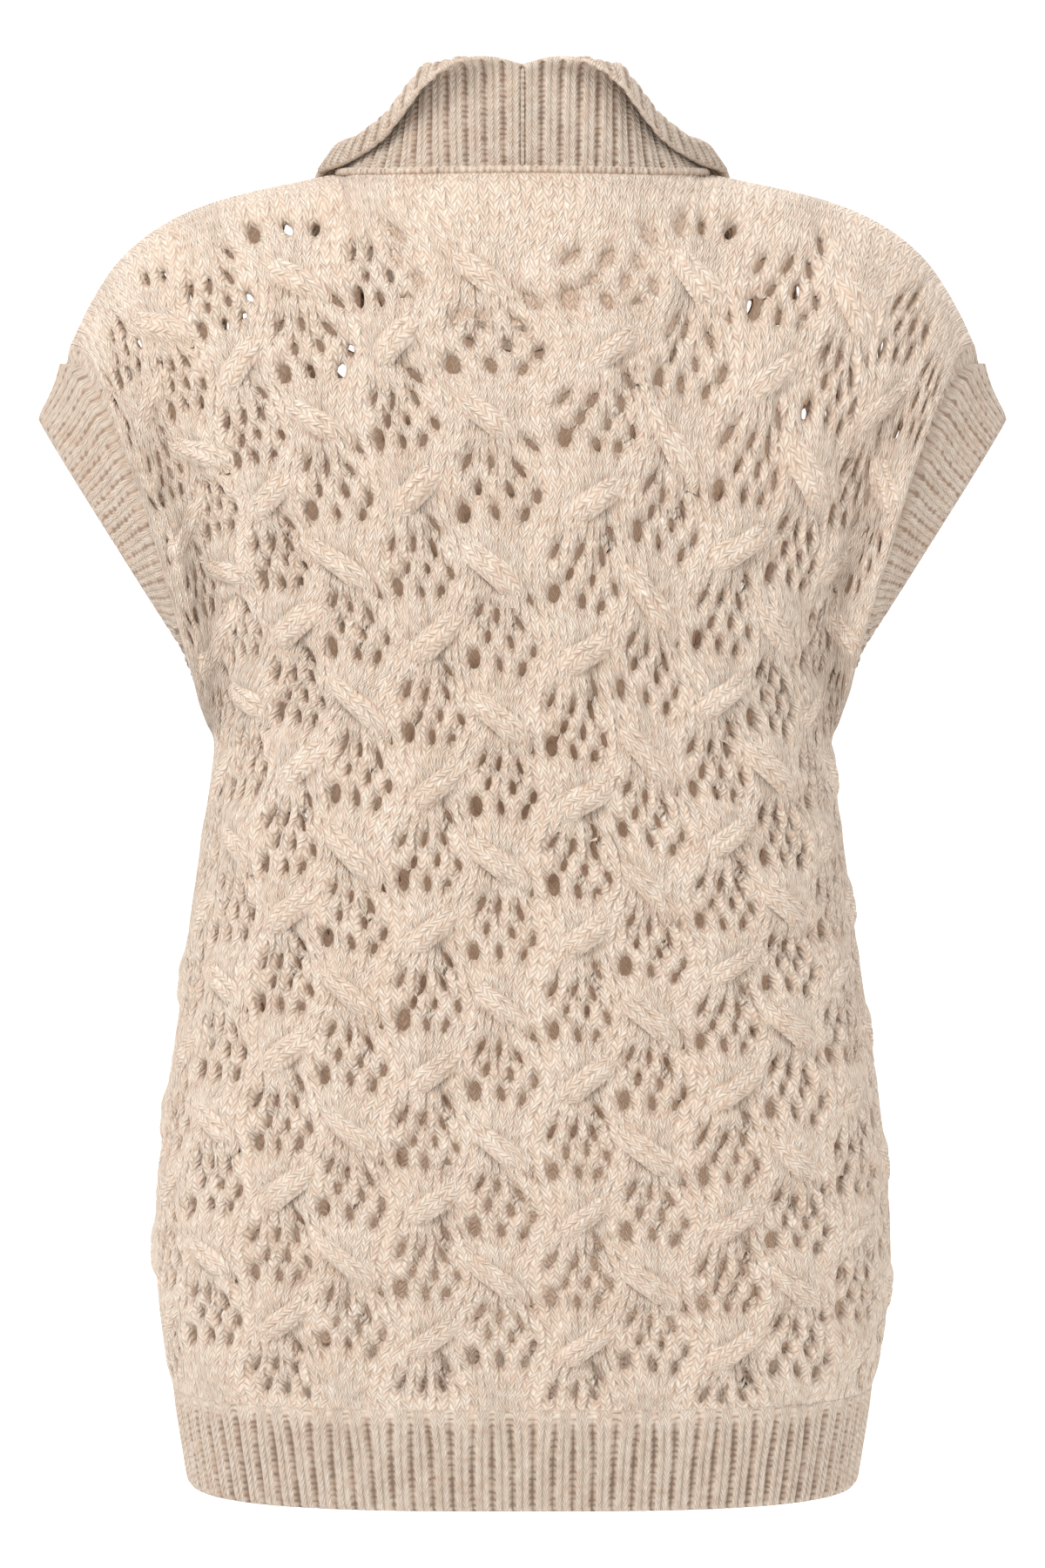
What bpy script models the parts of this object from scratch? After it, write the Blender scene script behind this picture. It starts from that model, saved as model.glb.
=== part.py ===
"""Sleeveless cable-and-lace sweater, filled out as if worn, with nothing inside it.

The garment stands upright, +Z up, its back facing -Y and its front facing +Y.
The origin is the middle of the neck opening at the height of the shoulder points,
where a wearer's shoulders carry it. Lengths below are millimetres.

Every piece is a wall of knitted cloth. A piece is worked out as a grid of points on
its outer face, and its inner face lies one wall thickness further in. Where two
pieces are sewn together both walls end along the same direction, a seam's gap apart.
"""

import bpy
import numpy as np

MM = 0.001

# ---------------------------------------------------------------- driving dimensions
WALL = 4.0  # thickness of the knitted cloth
SEAM_GAP = 0.5  # between two pieces that are sewn together
COLLAR_SEAM_GAP = 0.9  # the same under the collar, whose seam bends most

UNDERARM_Z = -282.0  # lowest point of the armhole seam
RIB_TOP_Z = -592.0  # where the body ends and the hem rib begins
HEM_Z = -640.0

SHOULDER_HALF = 223.0  # armhole seam to the middle, at the shoulder
BACK_NECK_BY_LENGTH = 0.5  # how far the columns keep to even steps along the neckline
FRONT_NECK_BY_LENGTH = 0.85
SEAM_WALL_PASSES = 4  # how often the wall directions along the side edges are evened out
NECK_WALL_LIFT = 0.5  # how far the walls at the neckline lean up
SHOULDER_WALL_LIFT = 0.3  # and how much further near the shoulder points
NECK_WALL_REACH = 45.0  # how near is near
NECK_HALF = 90.0  # shoulder point of the neckline to the middle
SHOULDER_SEAM_Y = 0.0

# The shoulder seam seen from behind: distance from the middle, height.
SHOULDER_LINE = (
    (90.0, 0.0),
    (122.0, -6.0),
    (150.0, -13.0),
    (176.0, -24.0),
    (200.5, -44.0),
    (216.5, -70.0),
    (223.0, -84.0),
)

# Half of the neckline, from the middle of the back or front to the shoulder point.
NECK_BACK = (
    (0.0, -68.0, -8.0),
    (35.0, -65.0, -8.0),
    (62.0, -54.0, -7.0),
    (82.0, -33.0, -4.0),
    (90.0, 0.0, 0.0),
)
NECK_FRONT = (
    (0.0, 93.0, -78.0),
    (38.0, 87.0, -67.0),
    (67.0, 70.0, -46.0),
    (86.0, 42.0, -20.0),
    (90.0, 0.0, 0.0),
)

# Level sections of the body below the armholes, seen from above as squared ovals.
# height, half width, depth of the back, depth of the front, squareness
BODY_SECTIONS = (
    (-282.0, 150.5, 108.0, 124.0, 2.6),
    (-320.0, 155.0, 107.0, 125.0, 2.7),
    (-370.0, 162.3, 108.0, 123.0, 2.8),
    (-415.0, 168.4, 112.0, 121.0, 2.9),
    (-460.0, 174.2, 117.0, 121.0, 3.0),
    (-520.0, 179.2, 121.0, 122.0, 3.1),
    (-556.0, 177.0, 121.0, 121.0, 3.1),
    (-592.0, 171.0, 118.0, 118.0, 3.1),
    (-640.0, 163.5, 114.0, 114.0, 3.0),
)

# How a column of stitches leaves the top edge: the first arm of its curve.
# position across the half panel, inward, reaches this far back or forward, down
BACK_LEAVES = (
    (0.0, 0.0, 97.0, 34.0),
    (0.27, 0.0, 99.0, 12.0),
    (0.5, 2.0, 98.0, 6.0),
    (0.8, 14.0, 92.0, 8.0),
    (1.0, 29.0, 85.0, 6.0),
)
FRONT_LEAVES = (
    (0.0, 0.0, 110.0, 46.0),
    (0.27, 0.0, 104.0, 14.0),
    (0.5, 2.0, 101.0, 6.0),
    (0.8, 14.0, 93.0, 8.0),
    (1.0, 29.0, 85.0, 6.0),
)
BODY_ARM = 66.0  # second arm of that curve, straight up from the underarm section
UNDERARM_ARM = (6.5, 85.0, 24.0)  # the same at the armhole: outward, backward, up
ARM_BLEND = 0.72  # position across the half panel where the armhole begins to tell
TANGENT_STEP = 10.0  # how far below the underarm section its direction is read
CREASE_PASSES = 6  # how often the yoke's depth is evened out
CREASE_REACH = 0.75  # and how far across, with a soft end of this width
CREASE_END = 0.2
CREASE_ROWS = 2  # rows below the shoulders before the evening out is whole

# The largest soft folds, which stand out from the cloth and fade at their ends.
FOLDS_END = 0.93  # they are gone between here and the side edge
# side, across the half panel, down the yoke, half width, half length, height
BACK_FOLDS = (
    (1.0, 0.88, 0.62, 0.045, 0.30, 7.0),
    (-1.0, 0.86, 0.66, 0.040, 0.24, 3.5),
)
FRONT_FOLDS = (
    (1.0, 0.86, 0.60, 0.045, 0.28, 4.0),
    (-1.0, 0.87, 0.64, 0.045, 0.26, 5.0),
)

# The opening of each armband: half of a flat ring, seen edge on from behind.
BAND_TOP = (236.0, -122.0)
BAND_BOTTOM = (149.0, -255.0)
BAND_HALF_DEPTH = 50.0
BAND_BULGE = 2.5  # how far the middle of the band stands out

# The collar, from the middle of the back to the middle of the front. It stands up from
# the neckline, rolls over outward and ends in a falling leaf.
# way round, stand, lean of the stand, leaf, final lean, forward sweep of the leaf
COLLAR_STATIONS = (
    (0.00, 46.0, 8.0, 3.0, 30.0, 0.0),
    (0.08, 48.0, 6.0, 6.0, 70.0, 0.0),
    (0.16, 50.0, 6.0, 12.0, 130.0, 0.0),
    (0.22, 46.0, -3.0, 15.0, 156.0, 0.0),
    (0.28, 34.0, -13.0, 15.0, 160.0, 2.0),
    (0.36, 24.0, -25.0, 15.0, 156.0, 6.0),
    (0.43, 17.0, -30.0, 15.0, 148.0, 10.0),
    (0.50, 14.0, -24.0, 17.0, 140.0, 14.0),
    (0.58, 13.0, -10.0, 28.0, 136.0, 16.0),
    (0.70, 13.0, 6.0, 38.0, 142.0, 8.0),
    (0.85, 17.0, 14.0, 42.0, 150.0, 2.0),
    (1.00, 18.0, 14.0, 43.0, 153.0, 0.0),
)
COLLAR_ROLL = 10.0  # length of cloth in the roll
COLLAR_TURNS_FORWARD = 0.45  # where round the neck the stand starts to tip forward
COLLAR_FORWARD_TIP = 0.45
COLLAR_EVENED = 2  # how often the neckline is evened out before directions are read

# How finely the faceted cloth is divided.
NECK_COLUMNS = 8  # in half a neckline, for panels and collar alike
SHOULDER_COLUMNS = 10  # in a shoulder
YOKE_ROWS = 10
BODY_ROWS = 10
RIB_ROWS = 2
BAND_RINGS = 2
COLLAR_ROWS = 9
CURVE_STEPS = 120  # steps in a curve that points are read from
SHARP_ANGLE = 50  # edges that turn by more degrees than this stay sharp

OATMEAL = (0.62, 0.51, 0.42, 1.0)
RIB_OATMEAL = (0.60, 0.49, 0.40, 1.0)


# ---------------------------------------------------------------- curves and sections
def smooth_read(table, at):
    """Reads every column of a table at places in its first column, as a smooth curve."""
    rows = np.asarray(table, dtype=float)
    order = np.argsort(rows[:, 0])
    rows = rows[order]
    x, y = rows[:, 0], rows[:, 1:]
    step = np.diff(x)[:, None]
    slope = np.diff(y, axis=0) / step
    rate = np.zeros_like(y)
    same = slope[1:] * slope[:-1] > 0
    harmonic = 2 * slope[1:] * slope[:-1] / np.where(same, slope[1:] + slope[:-1], 1)
    rate[1:-1] = np.where(same, harmonic, 0)
    rate[0], rate[-1] = slope[0], slope[-1]
    at = np.clip(np.atleast_1d(np.asarray(at, dtype=float)), x[0], x[-1])
    i = np.clip(np.searchsorted(x, at) - 1, 0, len(x) - 2)
    h = step[i]
    t = ((at - x[i])[:, None]) / h
    stay = y[i] * (1 + 2 * t) * (1 - t) ** 2 + y[i + 1] * t * t * (3 - 2 * t)
    turn = rate[i] * t * (1 - t) ** 2 * h - rate[i + 1] * t * t * (1 - t) * h
    return stay + turn


def ease(low, high, x):
    """0 below low, 1 above high and a soft step between."""
    t = np.clip((x - low) / (high - low), 0, 1)
    return t * t * (3 - 2 * t)


def unit(v):
    return v / np.maximum(np.linalg.norm(v, axis=-1, keepdims=True), 1e-12)


def along(points, share):
    """Points at given shares of a path's length."""
    step = np.linalg.norm(np.diff(points, axis=0), axis=1)
    run = np.concatenate(([0], np.cumsum(step)))
    where = np.asarray(share) * run[-1]
    return np.stack([np.interp(where, run, points[:, k]) for k in range(3)], axis=-1)


def quarter_oval(half_width, depth, squareness, share):
    """From the middle of the back (0, -depth) to the side (half_width, 0), by length."""
    a = np.linspace(0, np.pi / 2, CURVE_STEPS + 1)
    x = half_width * np.sin(a) ** (2 / squareness)
    y = -depth * np.cos(a) ** (2 / squareness)
    return along(np.stack([x, y, np.zeros_like(x)], axis=-1), share)[:, :2]


def neck_path(half_neck, share):
    """Half a neckline as a smooth curve through its points, from the middle outward."""
    pts = np.asarray(half_neck, dtype=float)
    run = np.concatenate(([0], np.cumsum(np.linalg.norm(np.diff(pts, axis=0), axis=1))))
    table = np.column_stack([run / run[-1], pts])
    return along(smooth_read(table, np.linspace(0, 1, CURVE_STEPS + 1)), share)


NECK_SHARE = 2 / np.pi * np.arcsin(NECK_HALF / SHOULDER_HALF)


def columns_across():
    """Positions across a panel from -1 to 1, with one on each shoulder point."""
    neck = np.linspace(0, NECK_SHARE, NECK_COLUMNS + 1)
    shoulder = np.linspace(NECK_SHARE, 1, SHOULDER_COLUMNS + 1)[1:]
    half = np.concatenate([neck, shoulder])
    return np.concatenate([-half[:0:-1], half])


def top_edge(u, back):
    """The neckline and the shoulder seams of a panel.

    Along the neckline the columns are spaced between evenly by its length and evenly by
    their distance from the middle.
    """
    size = np.abs(u)
    x = SHOULDER_HALF * np.sin(np.pi / 2 * size)
    z = smooth_read(SHOULDER_LINE, x)[:, 0]
    shoulder = np.stack([x, np.full_like(x, SHOULDER_SEAM_Y), z], axis=-1)
    half_neck = NECK_BACK if back else NECK_FRONT
    fine = np.linspace(0, 1, CURVE_STEPS + 1)
    by_length = np.clip(size / NECK_SHARE, 0, 1)
    by_width = np.interp(x, neck_path(half_neck, fine)[:, 0], fine)
    share = BACK_NECK_BY_LENGTH if back else FRONT_NECK_BY_LENGTH
    neck = neck_path(half_neck, by_length * share + by_width * (1 - share))
    points = np.where((size < NECK_SHARE - 1e-9)[:, None], neck, shoulder)
    points[:, 0] *= np.sign(u)
    return points


def body_ring(u, z, back):
    """One level section of the body, at positions across a panel."""
    half_width, back_depth, front_depth, squareness = smooth_read(BODY_SECTIONS, z)[0]
    depth = back_depth if back else front_depth
    xy = quarter_oval(half_width, depth, squareness, np.abs(u))
    side = 1 if back else -1
    return np.stack([xy[:, 0] * np.sign(u), xy[:, 1] * side, np.full_like(u, z)], axis=-1)


def fold_height(u, v, folds):
    """How far the soft folds stand out at places across and down the yoke."""
    out = np.zeros(np.broadcast(u, v).shape)
    for side, across, down, half_width, half_length, height in folds:
        width = (side * u - across) / half_width
        length = (v - down) / half_length
        out = out + height * np.exp(-width * width - length * length)
    return out * ease(1.0, FOLDS_END, np.abs(u))


def without_creases(yoke, u):
    """Evens out the depth of the yoke below the shoulder points, but not at its edges."""
    middle = ease(CREASE_REACH, CREASE_REACH - CREASE_END, np.abs(u))
    down = ease(0, CREASE_ROWS, np.arange(len(yoke)))[:, None]
    for _ in range(CREASE_PASSES):
        evened = (yoke[:, :-2, 1] + 2 * yoke[:, 1:-1, 1] + yoke[:, 2:, 1]) / 4
        share = (down * middle)[:, 1:-1]
        yoke[:, 1:-1, 1] = yoke[:, 1:-1, 1] * (1 - share) + evened * share
    return yoke


def panel_points(back):
    """A grid of points on a panel's outer face: rows from the shoulders to the rib."""
    u = columns_across()
    away = -1 if back else 1
    top = top_edge(u, back)
    under = body_ring(u, UNDERARM_Z, back)
    below = body_ring(u, UNDERARM_Z - TANGENT_STEP, back)
    leaves = smooth_read(BACK_LEAVES if back else FRONT_LEAVES, np.abs(u))
    first = top + np.stack([-np.sign(u) * leaves[:, 0], 0 * u, -leaves[:, 2]], -1)
    first[:, 1] = away * leaves[:, 1]
    straight = unit(under - below) * BODY_ARM
    outward, backward, up = UNDERARM_ARM
    round_arm = np.stack(
        [np.sign(u) * outward, np.full_like(u, away * backward), np.full_like(u, up)], -1
    )
    tells = ease(ARM_BLEND, 1.0, np.abs(u))[:, None]
    second = straight * (1 - tells) + round_arm * tells
    t = np.linspace(0, 1, YOKE_ROWS + 1)[:, None, None]
    yoke = (
        top * (1 - t) ** 3
        + first * 3 * t * (1 - t) ** 2
        + (under + second) * 3 * t * t * (1 - t)
        + under * t**3
    )
    yoke = without_creases(yoke, u)
    levels = np.linspace(UNDERARM_Z, RIB_TOP_Z, BODY_ROWS + 1)[1:]
    body = np.stack([body_ring(u, z, back) for z in levels])
    points = np.concatenate([yoke, body])
    v = np.concatenate([t[:, 0, 0], 1 + np.arange(1, BODY_ROWS + 1) / BODY_ROWS])
    raised = fold_height(u[None, :], v[:, None], BACK_FOLDS if back else FRONT_FOLDS)
    points = points + raised[..., None] * normals_of(points, away)
    points[..., 1] += away * SEAM_GAP / 2
    return points


def normals_of(points, away):
    """Outward directions of a grid of points. away is -1 for a back and 1 for a front."""
    down = np.gradient(points, axis=0)
    across = np.gradient(points, axis=1)
    return unit(np.cross(down, across) * -away)


def neck_wall(points):
    """The direction in which panel and collar both end along the neckline."""
    from_seam = (points[..., 1] - SHOULDER_SEAM_Y) / NECK_WALL_REACH
    lifted = NECK_WALL_LIFT + SHOULDER_WALL_LIFT * np.exp(-from_seam * from_seam)
    out = points - np.array([0, SHOULDER_SEAM_Y, 0])
    out[..., 1] = np.where(np.abs(out[..., 1]) < SEAM_GAP, 0, out[..., 1])
    out[..., 2] = 0
    out = unit(out)
    out[..., 2] = lifted
    return unit(out)


def panel_walls(points, back):
    """Wall directions of a panel, turned along its seams to meet the next piece."""
    away = -1 if back else 1
    walls = normals_of(points, away)
    u = columns_across()
    edge = np.gradient(points[0], axis=0)
    level = unit(np.stack([-edge[:, 2], 0 * edge[:, 2], edge[:, 0]], axis=-1))
    at_neck = np.abs(u) < NECK_SHARE + 1e-9
    walls[0] = np.where(at_neck[:, None], neck_wall(points[0]), level)
    sides = walls[:, (0, -1)]
    for _ in range(SEAM_WALL_PASSES):
        sides[1:-1] = unit(sides[:-2] + 2 * sides[1:-1] + sides[2:])
    sides[YOKE_ROWS:, :, 1] = 0
    walls[:, (0, -1)] = unit(sides)
    walls[-1, :, 2] = 0
    walls[-1] = unit(walls[-1])
    return walls


# ---------------------------------------------------------------- meshes
def wall_mesh(name, outer, walls, colour, ring=False, flip=False):
    """A closed wall between a grid of points and the same grid moved in by its thickness.

    ring joins the last column to the first. flip turns the faces of a grid whose
    columns run the other way round. Each face of four corners is split along its
    shorter diagonal, so that two pieces split the faces of their seam alike.
    """
    inner = outer - walls * WALL
    rows, columns = outer.shape[:2]
    front = np.arange(rows * columns).reshape(rows, columns)
    rear = front + rows * columns
    if ring:
        front, rear = (np.hstack([side, side[:, :1]]) for side in (front, rear))
    quads = [
        (front[:-1, :-1], front[1:, :-1], front[1:, 1:], front[:-1, 1:]),
        (rear[:-1, 1:], rear[1:, 1:], rear[1:, :-1], rear[:-1, :-1]),
        (front[0, 1:], rear[0, 1:], rear[0, :-1], front[0, :-1]),
        (front[-1, :-1], rear[-1, :-1], rear[-1, 1:], front[-1, 1:]),
    ]
    if not ring:
        quads += [
            (front[:-1, 0], rear[:-1, 0], rear[1:, 0], front[1:, 0]),
            (front[1:, -1], rear[1:, -1], rear[:-1, -1], front[:-1, -1]),
        ]
    corners = np.concatenate([np.stack(q, axis=-1).reshape(-1, 4) for q in quads])
    if flip:
        corners = corners[:, ::-1]
    places = np.concatenate([outer.reshape(-1, 3), inner.reshape(-1, 3)])
    a, b, c, d = corners.T
    across = np.linalg.norm(places[a] - places[c], axis=1)
    other = np.linalg.norm(places[b] - places[d], axis=1)
    first = (across <= other)[:, None]
    halves = (
        np.where(first, np.stack([a, b, c], 1), np.stack([a, b, d], 1)),
        np.where(first, np.stack([a, c, d], 1), np.stack([b, c, d], 1)),
    )
    places, faces = places * MM, np.concatenate(halves)
    mesh = bpy.data.meshes.new(name)
    mesh.from_pydata(places.tolist(), [], faces.tolist())
    mesh.materials.append(cloth(name, colour))
    mesh.shade_smooth()
    mesh.set_sharp_from_angle(angle=np.radians(SHARP_ANGLE))
    mesh.update()
    thing = bpy.data.objects.new(name, mesh)
    bpy.context.collection.objects.link(thing)
    return thing


def cloth(name, colour):
    """Soft wool: matt, with a little sheen."""
    material = bpy.data.materials.new(name + "_wool")
    material.use_nodes = True
    shader = material.node_tree.nodes["Principled BSDF"]
    shader.inputs["Base Color"].default_value = colour
    shader.inputs["Roughness"].default_value = 0.9
    shader.inputs["Metallic"].default_value = 0.0
    shader.inputs["Sheen Weight"].default_value = 0.3
    return material


# ---------------------------------------------------------------- pieces
def make_panel(name, back):
    """The back or the front: one piece from the shoulders to the rib."""
    points = panel_points(back)
    walls = panel_walls(points, back)
    wall_mesh(name, points, walls, OATMEAL, flip=not back)
    return points, walls


def make_hem_rib(name, back):
    """The ribbed band under a panel."""
    u = columns_across()
    away = -1 if back else 1
    levels = np.linspace(RIB_TOP_Z - SEAM_GAP, HEM_Z, RIB_ROWS + 1)
    points = np.stack([body_ring(u, z, back) for z in levels])
    points[..., 1] += away * SEAM_GAP / 2
    walls = normals_of(points, away)
    walls[:, (0, -1), 1] = 0
    walls[..., 2] = 0
    wall_mesh(name, points, unit(walls), RIB_OATMEAL, flip=not back)


def band_opening(side, share):
    """Points round the armband's free edge, from its top by way of the back."""
    angle = 2 * np.pi * np.linspace(0, 1, 2 * CURVE_STEPS + 1)
    half = np.cos(angle)
    top, bottom = np.array(BAND_TOP), np.array(BAND_BOTTOM)
    middle, reach = (top + bottom) / 2, (top - bottom) / 2
    x = (middle[0] + reach[0] * half) * side
    z = middle[1] + reach[1] * half
    ring = np.stack([x, -BAND_HALF_DEPTH * np.sin(angle), z], axis=-1)
    return along(ring, share)


def make_armband(name, side, back, front):
    """A ribbed band sewn round one armhole. back and front are (points, walls)."""
    column = -1 if side > 0 else 0
    loop = np.concatenate(
        [back[0][: YOKE_ROWS + 1, column], front[0][YOKE_ROWS::-1, column]]
    )
    loop_walls = np.concatenate(
        [back[1][: YOKE_ROWS + 1, column], front[1][YOKE_ROWS::-1, column]]
    )
    step = np.linalg.norm(np.diff(loop, axis=0), axis=1)
    share = np.concatenate(([0], np.cumsum(step))) / step.sum()
    opening = band_opening(side, share)
    clear = unit(np.cross(loop_walls, np.gradient(loop, axis=0))) * side
    start = loop + clear * SEAM_GAP
    t = np.linspace(0, 1, BAND_RINGS + 1)[:, None, None]
    points = start * (1 - t) + opening * t
    flat = unit(np.cross(opening - start, np.gradient(loop, axis=0))) * side
    points = points + flat * BAND_BULGE * np.sin(np.pi * t)
    walls = np.broadcast_to(flat, points.shape).copy()
    walls[0] = loop_walls
    wall_mesh(name, points, walls, RIB_OATMEAL, ring=True, flip=side < 0)


def neck_seam(back, front):
    """The neckline as both panels end there, from the middle of the back to the middle
    of the front, with the wall directions, divided into the collar's columns."""
    middle = NECK_COLUMNS + SHOULDER_COLUMNS
    points, walls = (
        np.concatenate(
            [back[k][0, middle : middle + NECK_COLUMNS + 1],
             front[k][0, middle : middle + NECK_COLUMNS][::-1]]
        )
        for k in (0, 1)
    )
    return points, walls


def collar_points(side, back, front):
    """A grid on one half of the collar: rows from the neckline to the free edge."""
    seam, seam_walls = neck_seam(back, front)
    way = np.linspace(0, 1, len(seam))
    smooth = seam.copy()
    for _ in range(COLLAR_EVENED):
        smooth[1:-1] = (smooth[:-2] + 2 * smooth[1:-1] + smooth[2:]) / 4
    tangent = unit(np.gradient(smooth, axis=0))
    tip = ease(COLLAR_TURNS_FORWARD, 1.0, way) * COLLAR_FORWARD_TIP
    up = unit(np.stack([0 * tip, tip, np.ones_like(tip)], axis=-1))
    out = np.cross(tangent, up)
    out[(0, -1), 0] = 0
    out = unit(out)
    stand, lean, leaf, final, sweep = smooth_read(COLLAR_STATIONS, way).T
    length = stand + leaf
    share = np.linspace(0, 1, CURVE_STEPS + 1)[:, None]
    run = share * length
    turned = ease(stand - COLLAR_ROLL / 2, stand + COLLAR_ROLL / 2, run)
    angle = np.radians(lean + (final - lean) * turned)
    step = length / (len(share) - 1)
    walk_out = np.cumsum(np.sin(angle) * step, axis=0) - np.sin(angle[0]) * step
    walk_up = np.cumsum(np.cos(angle) * step, axis=0) - np.cos(angle[0]) * step
    points = seam + walk_out[..., None] * out + walk_up[..., None] * up
    points[..., 1] += sweep * np.clip((run - stand) / leaf, 0, 1)
    keep = np.linspace(0, len(share) - 1, COLLAR_ROWS + 1).round().astype(int)
    points = points[keep]
    walls = unit(np.cross(np.gradient(points, axis=1), np.gradient(points, axis=0)))
    walls[:, (0, -1), 0] = 0
    walls = unit(walls)
    walls[0] = seam_walls
    lift = unit(np.cross(seam_walls, np.gradient(seam, axis=0)))
    lift *= np.sign(lift[:, 2:])
    lift[(0, -1), 0] = 0
    points[0] += lift * COLLAR_SEAM_GAP
    points[..., 0] += SEAM_GAP / 2
    mirror = np.array([side, 1, 1])
    return points * mirror, walls * mirror


def make_collar(name, side, back, front):
    """One half of the collar, from the seam at the back of the neck to the front."""
    points, walls = collar_points(side, back, front)
    wall_mesh(name, points, walls, RIB_OATMEAL, flip=side > 0)


def main():
    """Clears the scene and makes the eight pieces."""
    for thing in list(bpy.data.objects):
        bpy.data.objects.remove(thing, do_unlink=True)
    back = make_panel("back_panel", True)
    front = make_panel("front_panel", False)
    make_hem_rib("back_hem_rib", True)
    make_hem_rib("front_hem_rib", False)
    make_armband("armband_left", -1, back, front)
    make_armband("armband_right", 1, back, front)
    make_collar("collar_left", -1, back, front)
    make_collar("collar_right", 1, back, front)


main()
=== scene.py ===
"""Looks of a sleeveless sweater in cable-and-lace knit, built round its CAD frame.

Lengths are millimetres until a mesh is made, and Blender's metres after that. Every
piece of cloth is read from a smooth form that passes through the CAD's own points, so
it lies where its CAD node lies. The knit is worked out in the plane of its chart:
x runs across the wales and y down the courses, both in millimetres of relaxed knit.
"""

import logging  # noqa: E402
from dataclasses import dataclass, field  # noqa: E402
from enum import Enum  # noqa: E402

import bpy  # noqa: E402
import numpy as np  # noqa: E402
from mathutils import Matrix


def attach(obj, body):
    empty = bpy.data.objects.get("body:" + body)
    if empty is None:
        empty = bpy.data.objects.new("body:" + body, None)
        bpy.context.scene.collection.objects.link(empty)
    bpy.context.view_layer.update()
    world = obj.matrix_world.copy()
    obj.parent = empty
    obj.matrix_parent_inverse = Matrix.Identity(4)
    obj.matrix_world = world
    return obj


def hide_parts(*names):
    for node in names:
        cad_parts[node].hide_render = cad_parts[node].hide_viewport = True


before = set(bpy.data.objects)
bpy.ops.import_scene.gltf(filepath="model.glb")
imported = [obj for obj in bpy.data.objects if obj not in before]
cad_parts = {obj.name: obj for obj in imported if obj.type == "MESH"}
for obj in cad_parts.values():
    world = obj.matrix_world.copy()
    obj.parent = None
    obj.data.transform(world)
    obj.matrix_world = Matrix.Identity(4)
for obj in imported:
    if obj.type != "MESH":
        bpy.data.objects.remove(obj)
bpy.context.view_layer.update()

Array = np.ndarray
Pair = tuple[float, float]
Triple = tuple[float, float, float]
Colour = tuple[float, float, float, float]
Row = tuple[float, ...]
Table = tuple[Row, ...]
Material = bpy.types.Material
Thing = bpy.types.Object
log = logging.getLogger("sweater")

MM = 0.001
WALL = 4.0  # thickness of the knitted cloth
SEAM = 0.04  # between two pieces that are sewn together
TINY = 1e-9
FAR = 99.0  # further from a hole than any place of the cloth counts


class Face(Enum):
    """Which panel a piece belongs to, with its direction along Y."""

    BACK = -1
    FRONT = 1


class Side(Enum):
    """Which side a piece is on, seen from behind, with its direction along X."""

    LEFT = -1
    RIGHT = 1


class Lean(Enum):
    """Which way a cable crosses, seen from outside."""

    RISING = 1
    FALLING = -1


# ---- curves
def read_rows(x: Array, y: Array, at: Array) -> Array:
    """Reads rows of values as smooth curves that never overshoot their stations.

    Each curve is a cubic between two stations, whose rate at a station is the harmonic
    mean of the slopes beside it, or none where the slopes differ in sign.

    Args:
        x: places of the stations, shape (stations,).
        y: values, shape (rows, stations, kinds).
        at: places to read in each row, shape (rows, places).

    Returns:
        Values of shape (rows, places, kinds).
    """
    step = np.diff(x)
    slope = np.diff(y, axis=1) / step[None, :, None]
    before, after = slope[:, :-1], slope[:, 1:]
    same = before * after > 0
    rate = np.zeros_like(y)
    rate[:, 1:-1] = np.where(
        same, 2 * before * after / np.where(same, before + after, 1), 0
    )
    rate[:, 0], rate[:, -1] = slope[:, 0], slope[:, -1]
    at = np.clip(at, x[0], x[-1])
    i = np.clip(np.searchsorted(x, at) - 1, 0, len(x) - 2)
    row = np.arange(len(y))[:, None]
    h = step[i][..., None]
    t = (at - x[i])[..., None] / h
    stay = y[row, i] * (1 + 2 * t) * (1 - t) ** 2 + y[row, i + 1] * t * t * (3 - 2 * t)
    turn = rate[row, i] * t * (1 - t) ** 2 - rate[row, i + 1] * t * t * (1 - t)
    return stay + turn * h


def smooth_read(table: Array | Table, at: Array | float) -> Array:
    """Reads every column of a table at places in its first column, as smooth curves.

    Args:
        table: rows of a place and its values.
        at: places to read.

    Returns:
        Values of shape (places, columns less one).
    """
    rows = np.asarray(table, dtype=float)
    rows = rows[np.argsort(rows[:, 0])]
    places = np.atleast_1d(np.asarray(at, dtype=float))[None]
    return read_rows(rows[:, 0], rows[None, :, 1:], places)[0]


def ease(low: float | Array, high: float | Array, x: Array) -> Array:
    """0 below low, 1 above high and a soft step between."""
    t = np.clip((x - low) / (high - low), 0, 1)
    return t * t * (3 - 2 * t)


def bell(x: Array, width: float) -> Array:
    """A soft hump, 1 at zero and gone two widths away."""
    return np.exp(-((x / width) ** 2))


def unit(v: Array) -> Array:
    """Vectors of length one."""
    return v / np.maximum(np.linalg.norm(v, axis=-1, keepdims=True), 1e-12)


def run_of(points: Array) -> Array:
    """Length of a path up to each of its points."""
    step = np.linalg.norm(np.diff(points, axis=0), axis=1)
    return np.concatenate(([0.0], np.cumsum(step)))


def along(points: Array, share: Array) -> Array:
    """Points at given shares of a path's length."""
    run = run_of(points)
    where = np.asarray(share) * run[-1]
    return np.stack([np.interp(where, run, points[:, k]) for k in range(3)], axis=-1)


def scatter(i: Array, j: Array, salt: float) -> Array:
    """Fixed numbers between -1 and 1 that look random, one for each pair of counts."""
    wild = np.sin(i * 12.9898 + j * 78.233 + salt * 37.719) * 43758.5453
    return 2 * (wild - np.floor(wild)) - 1


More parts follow.
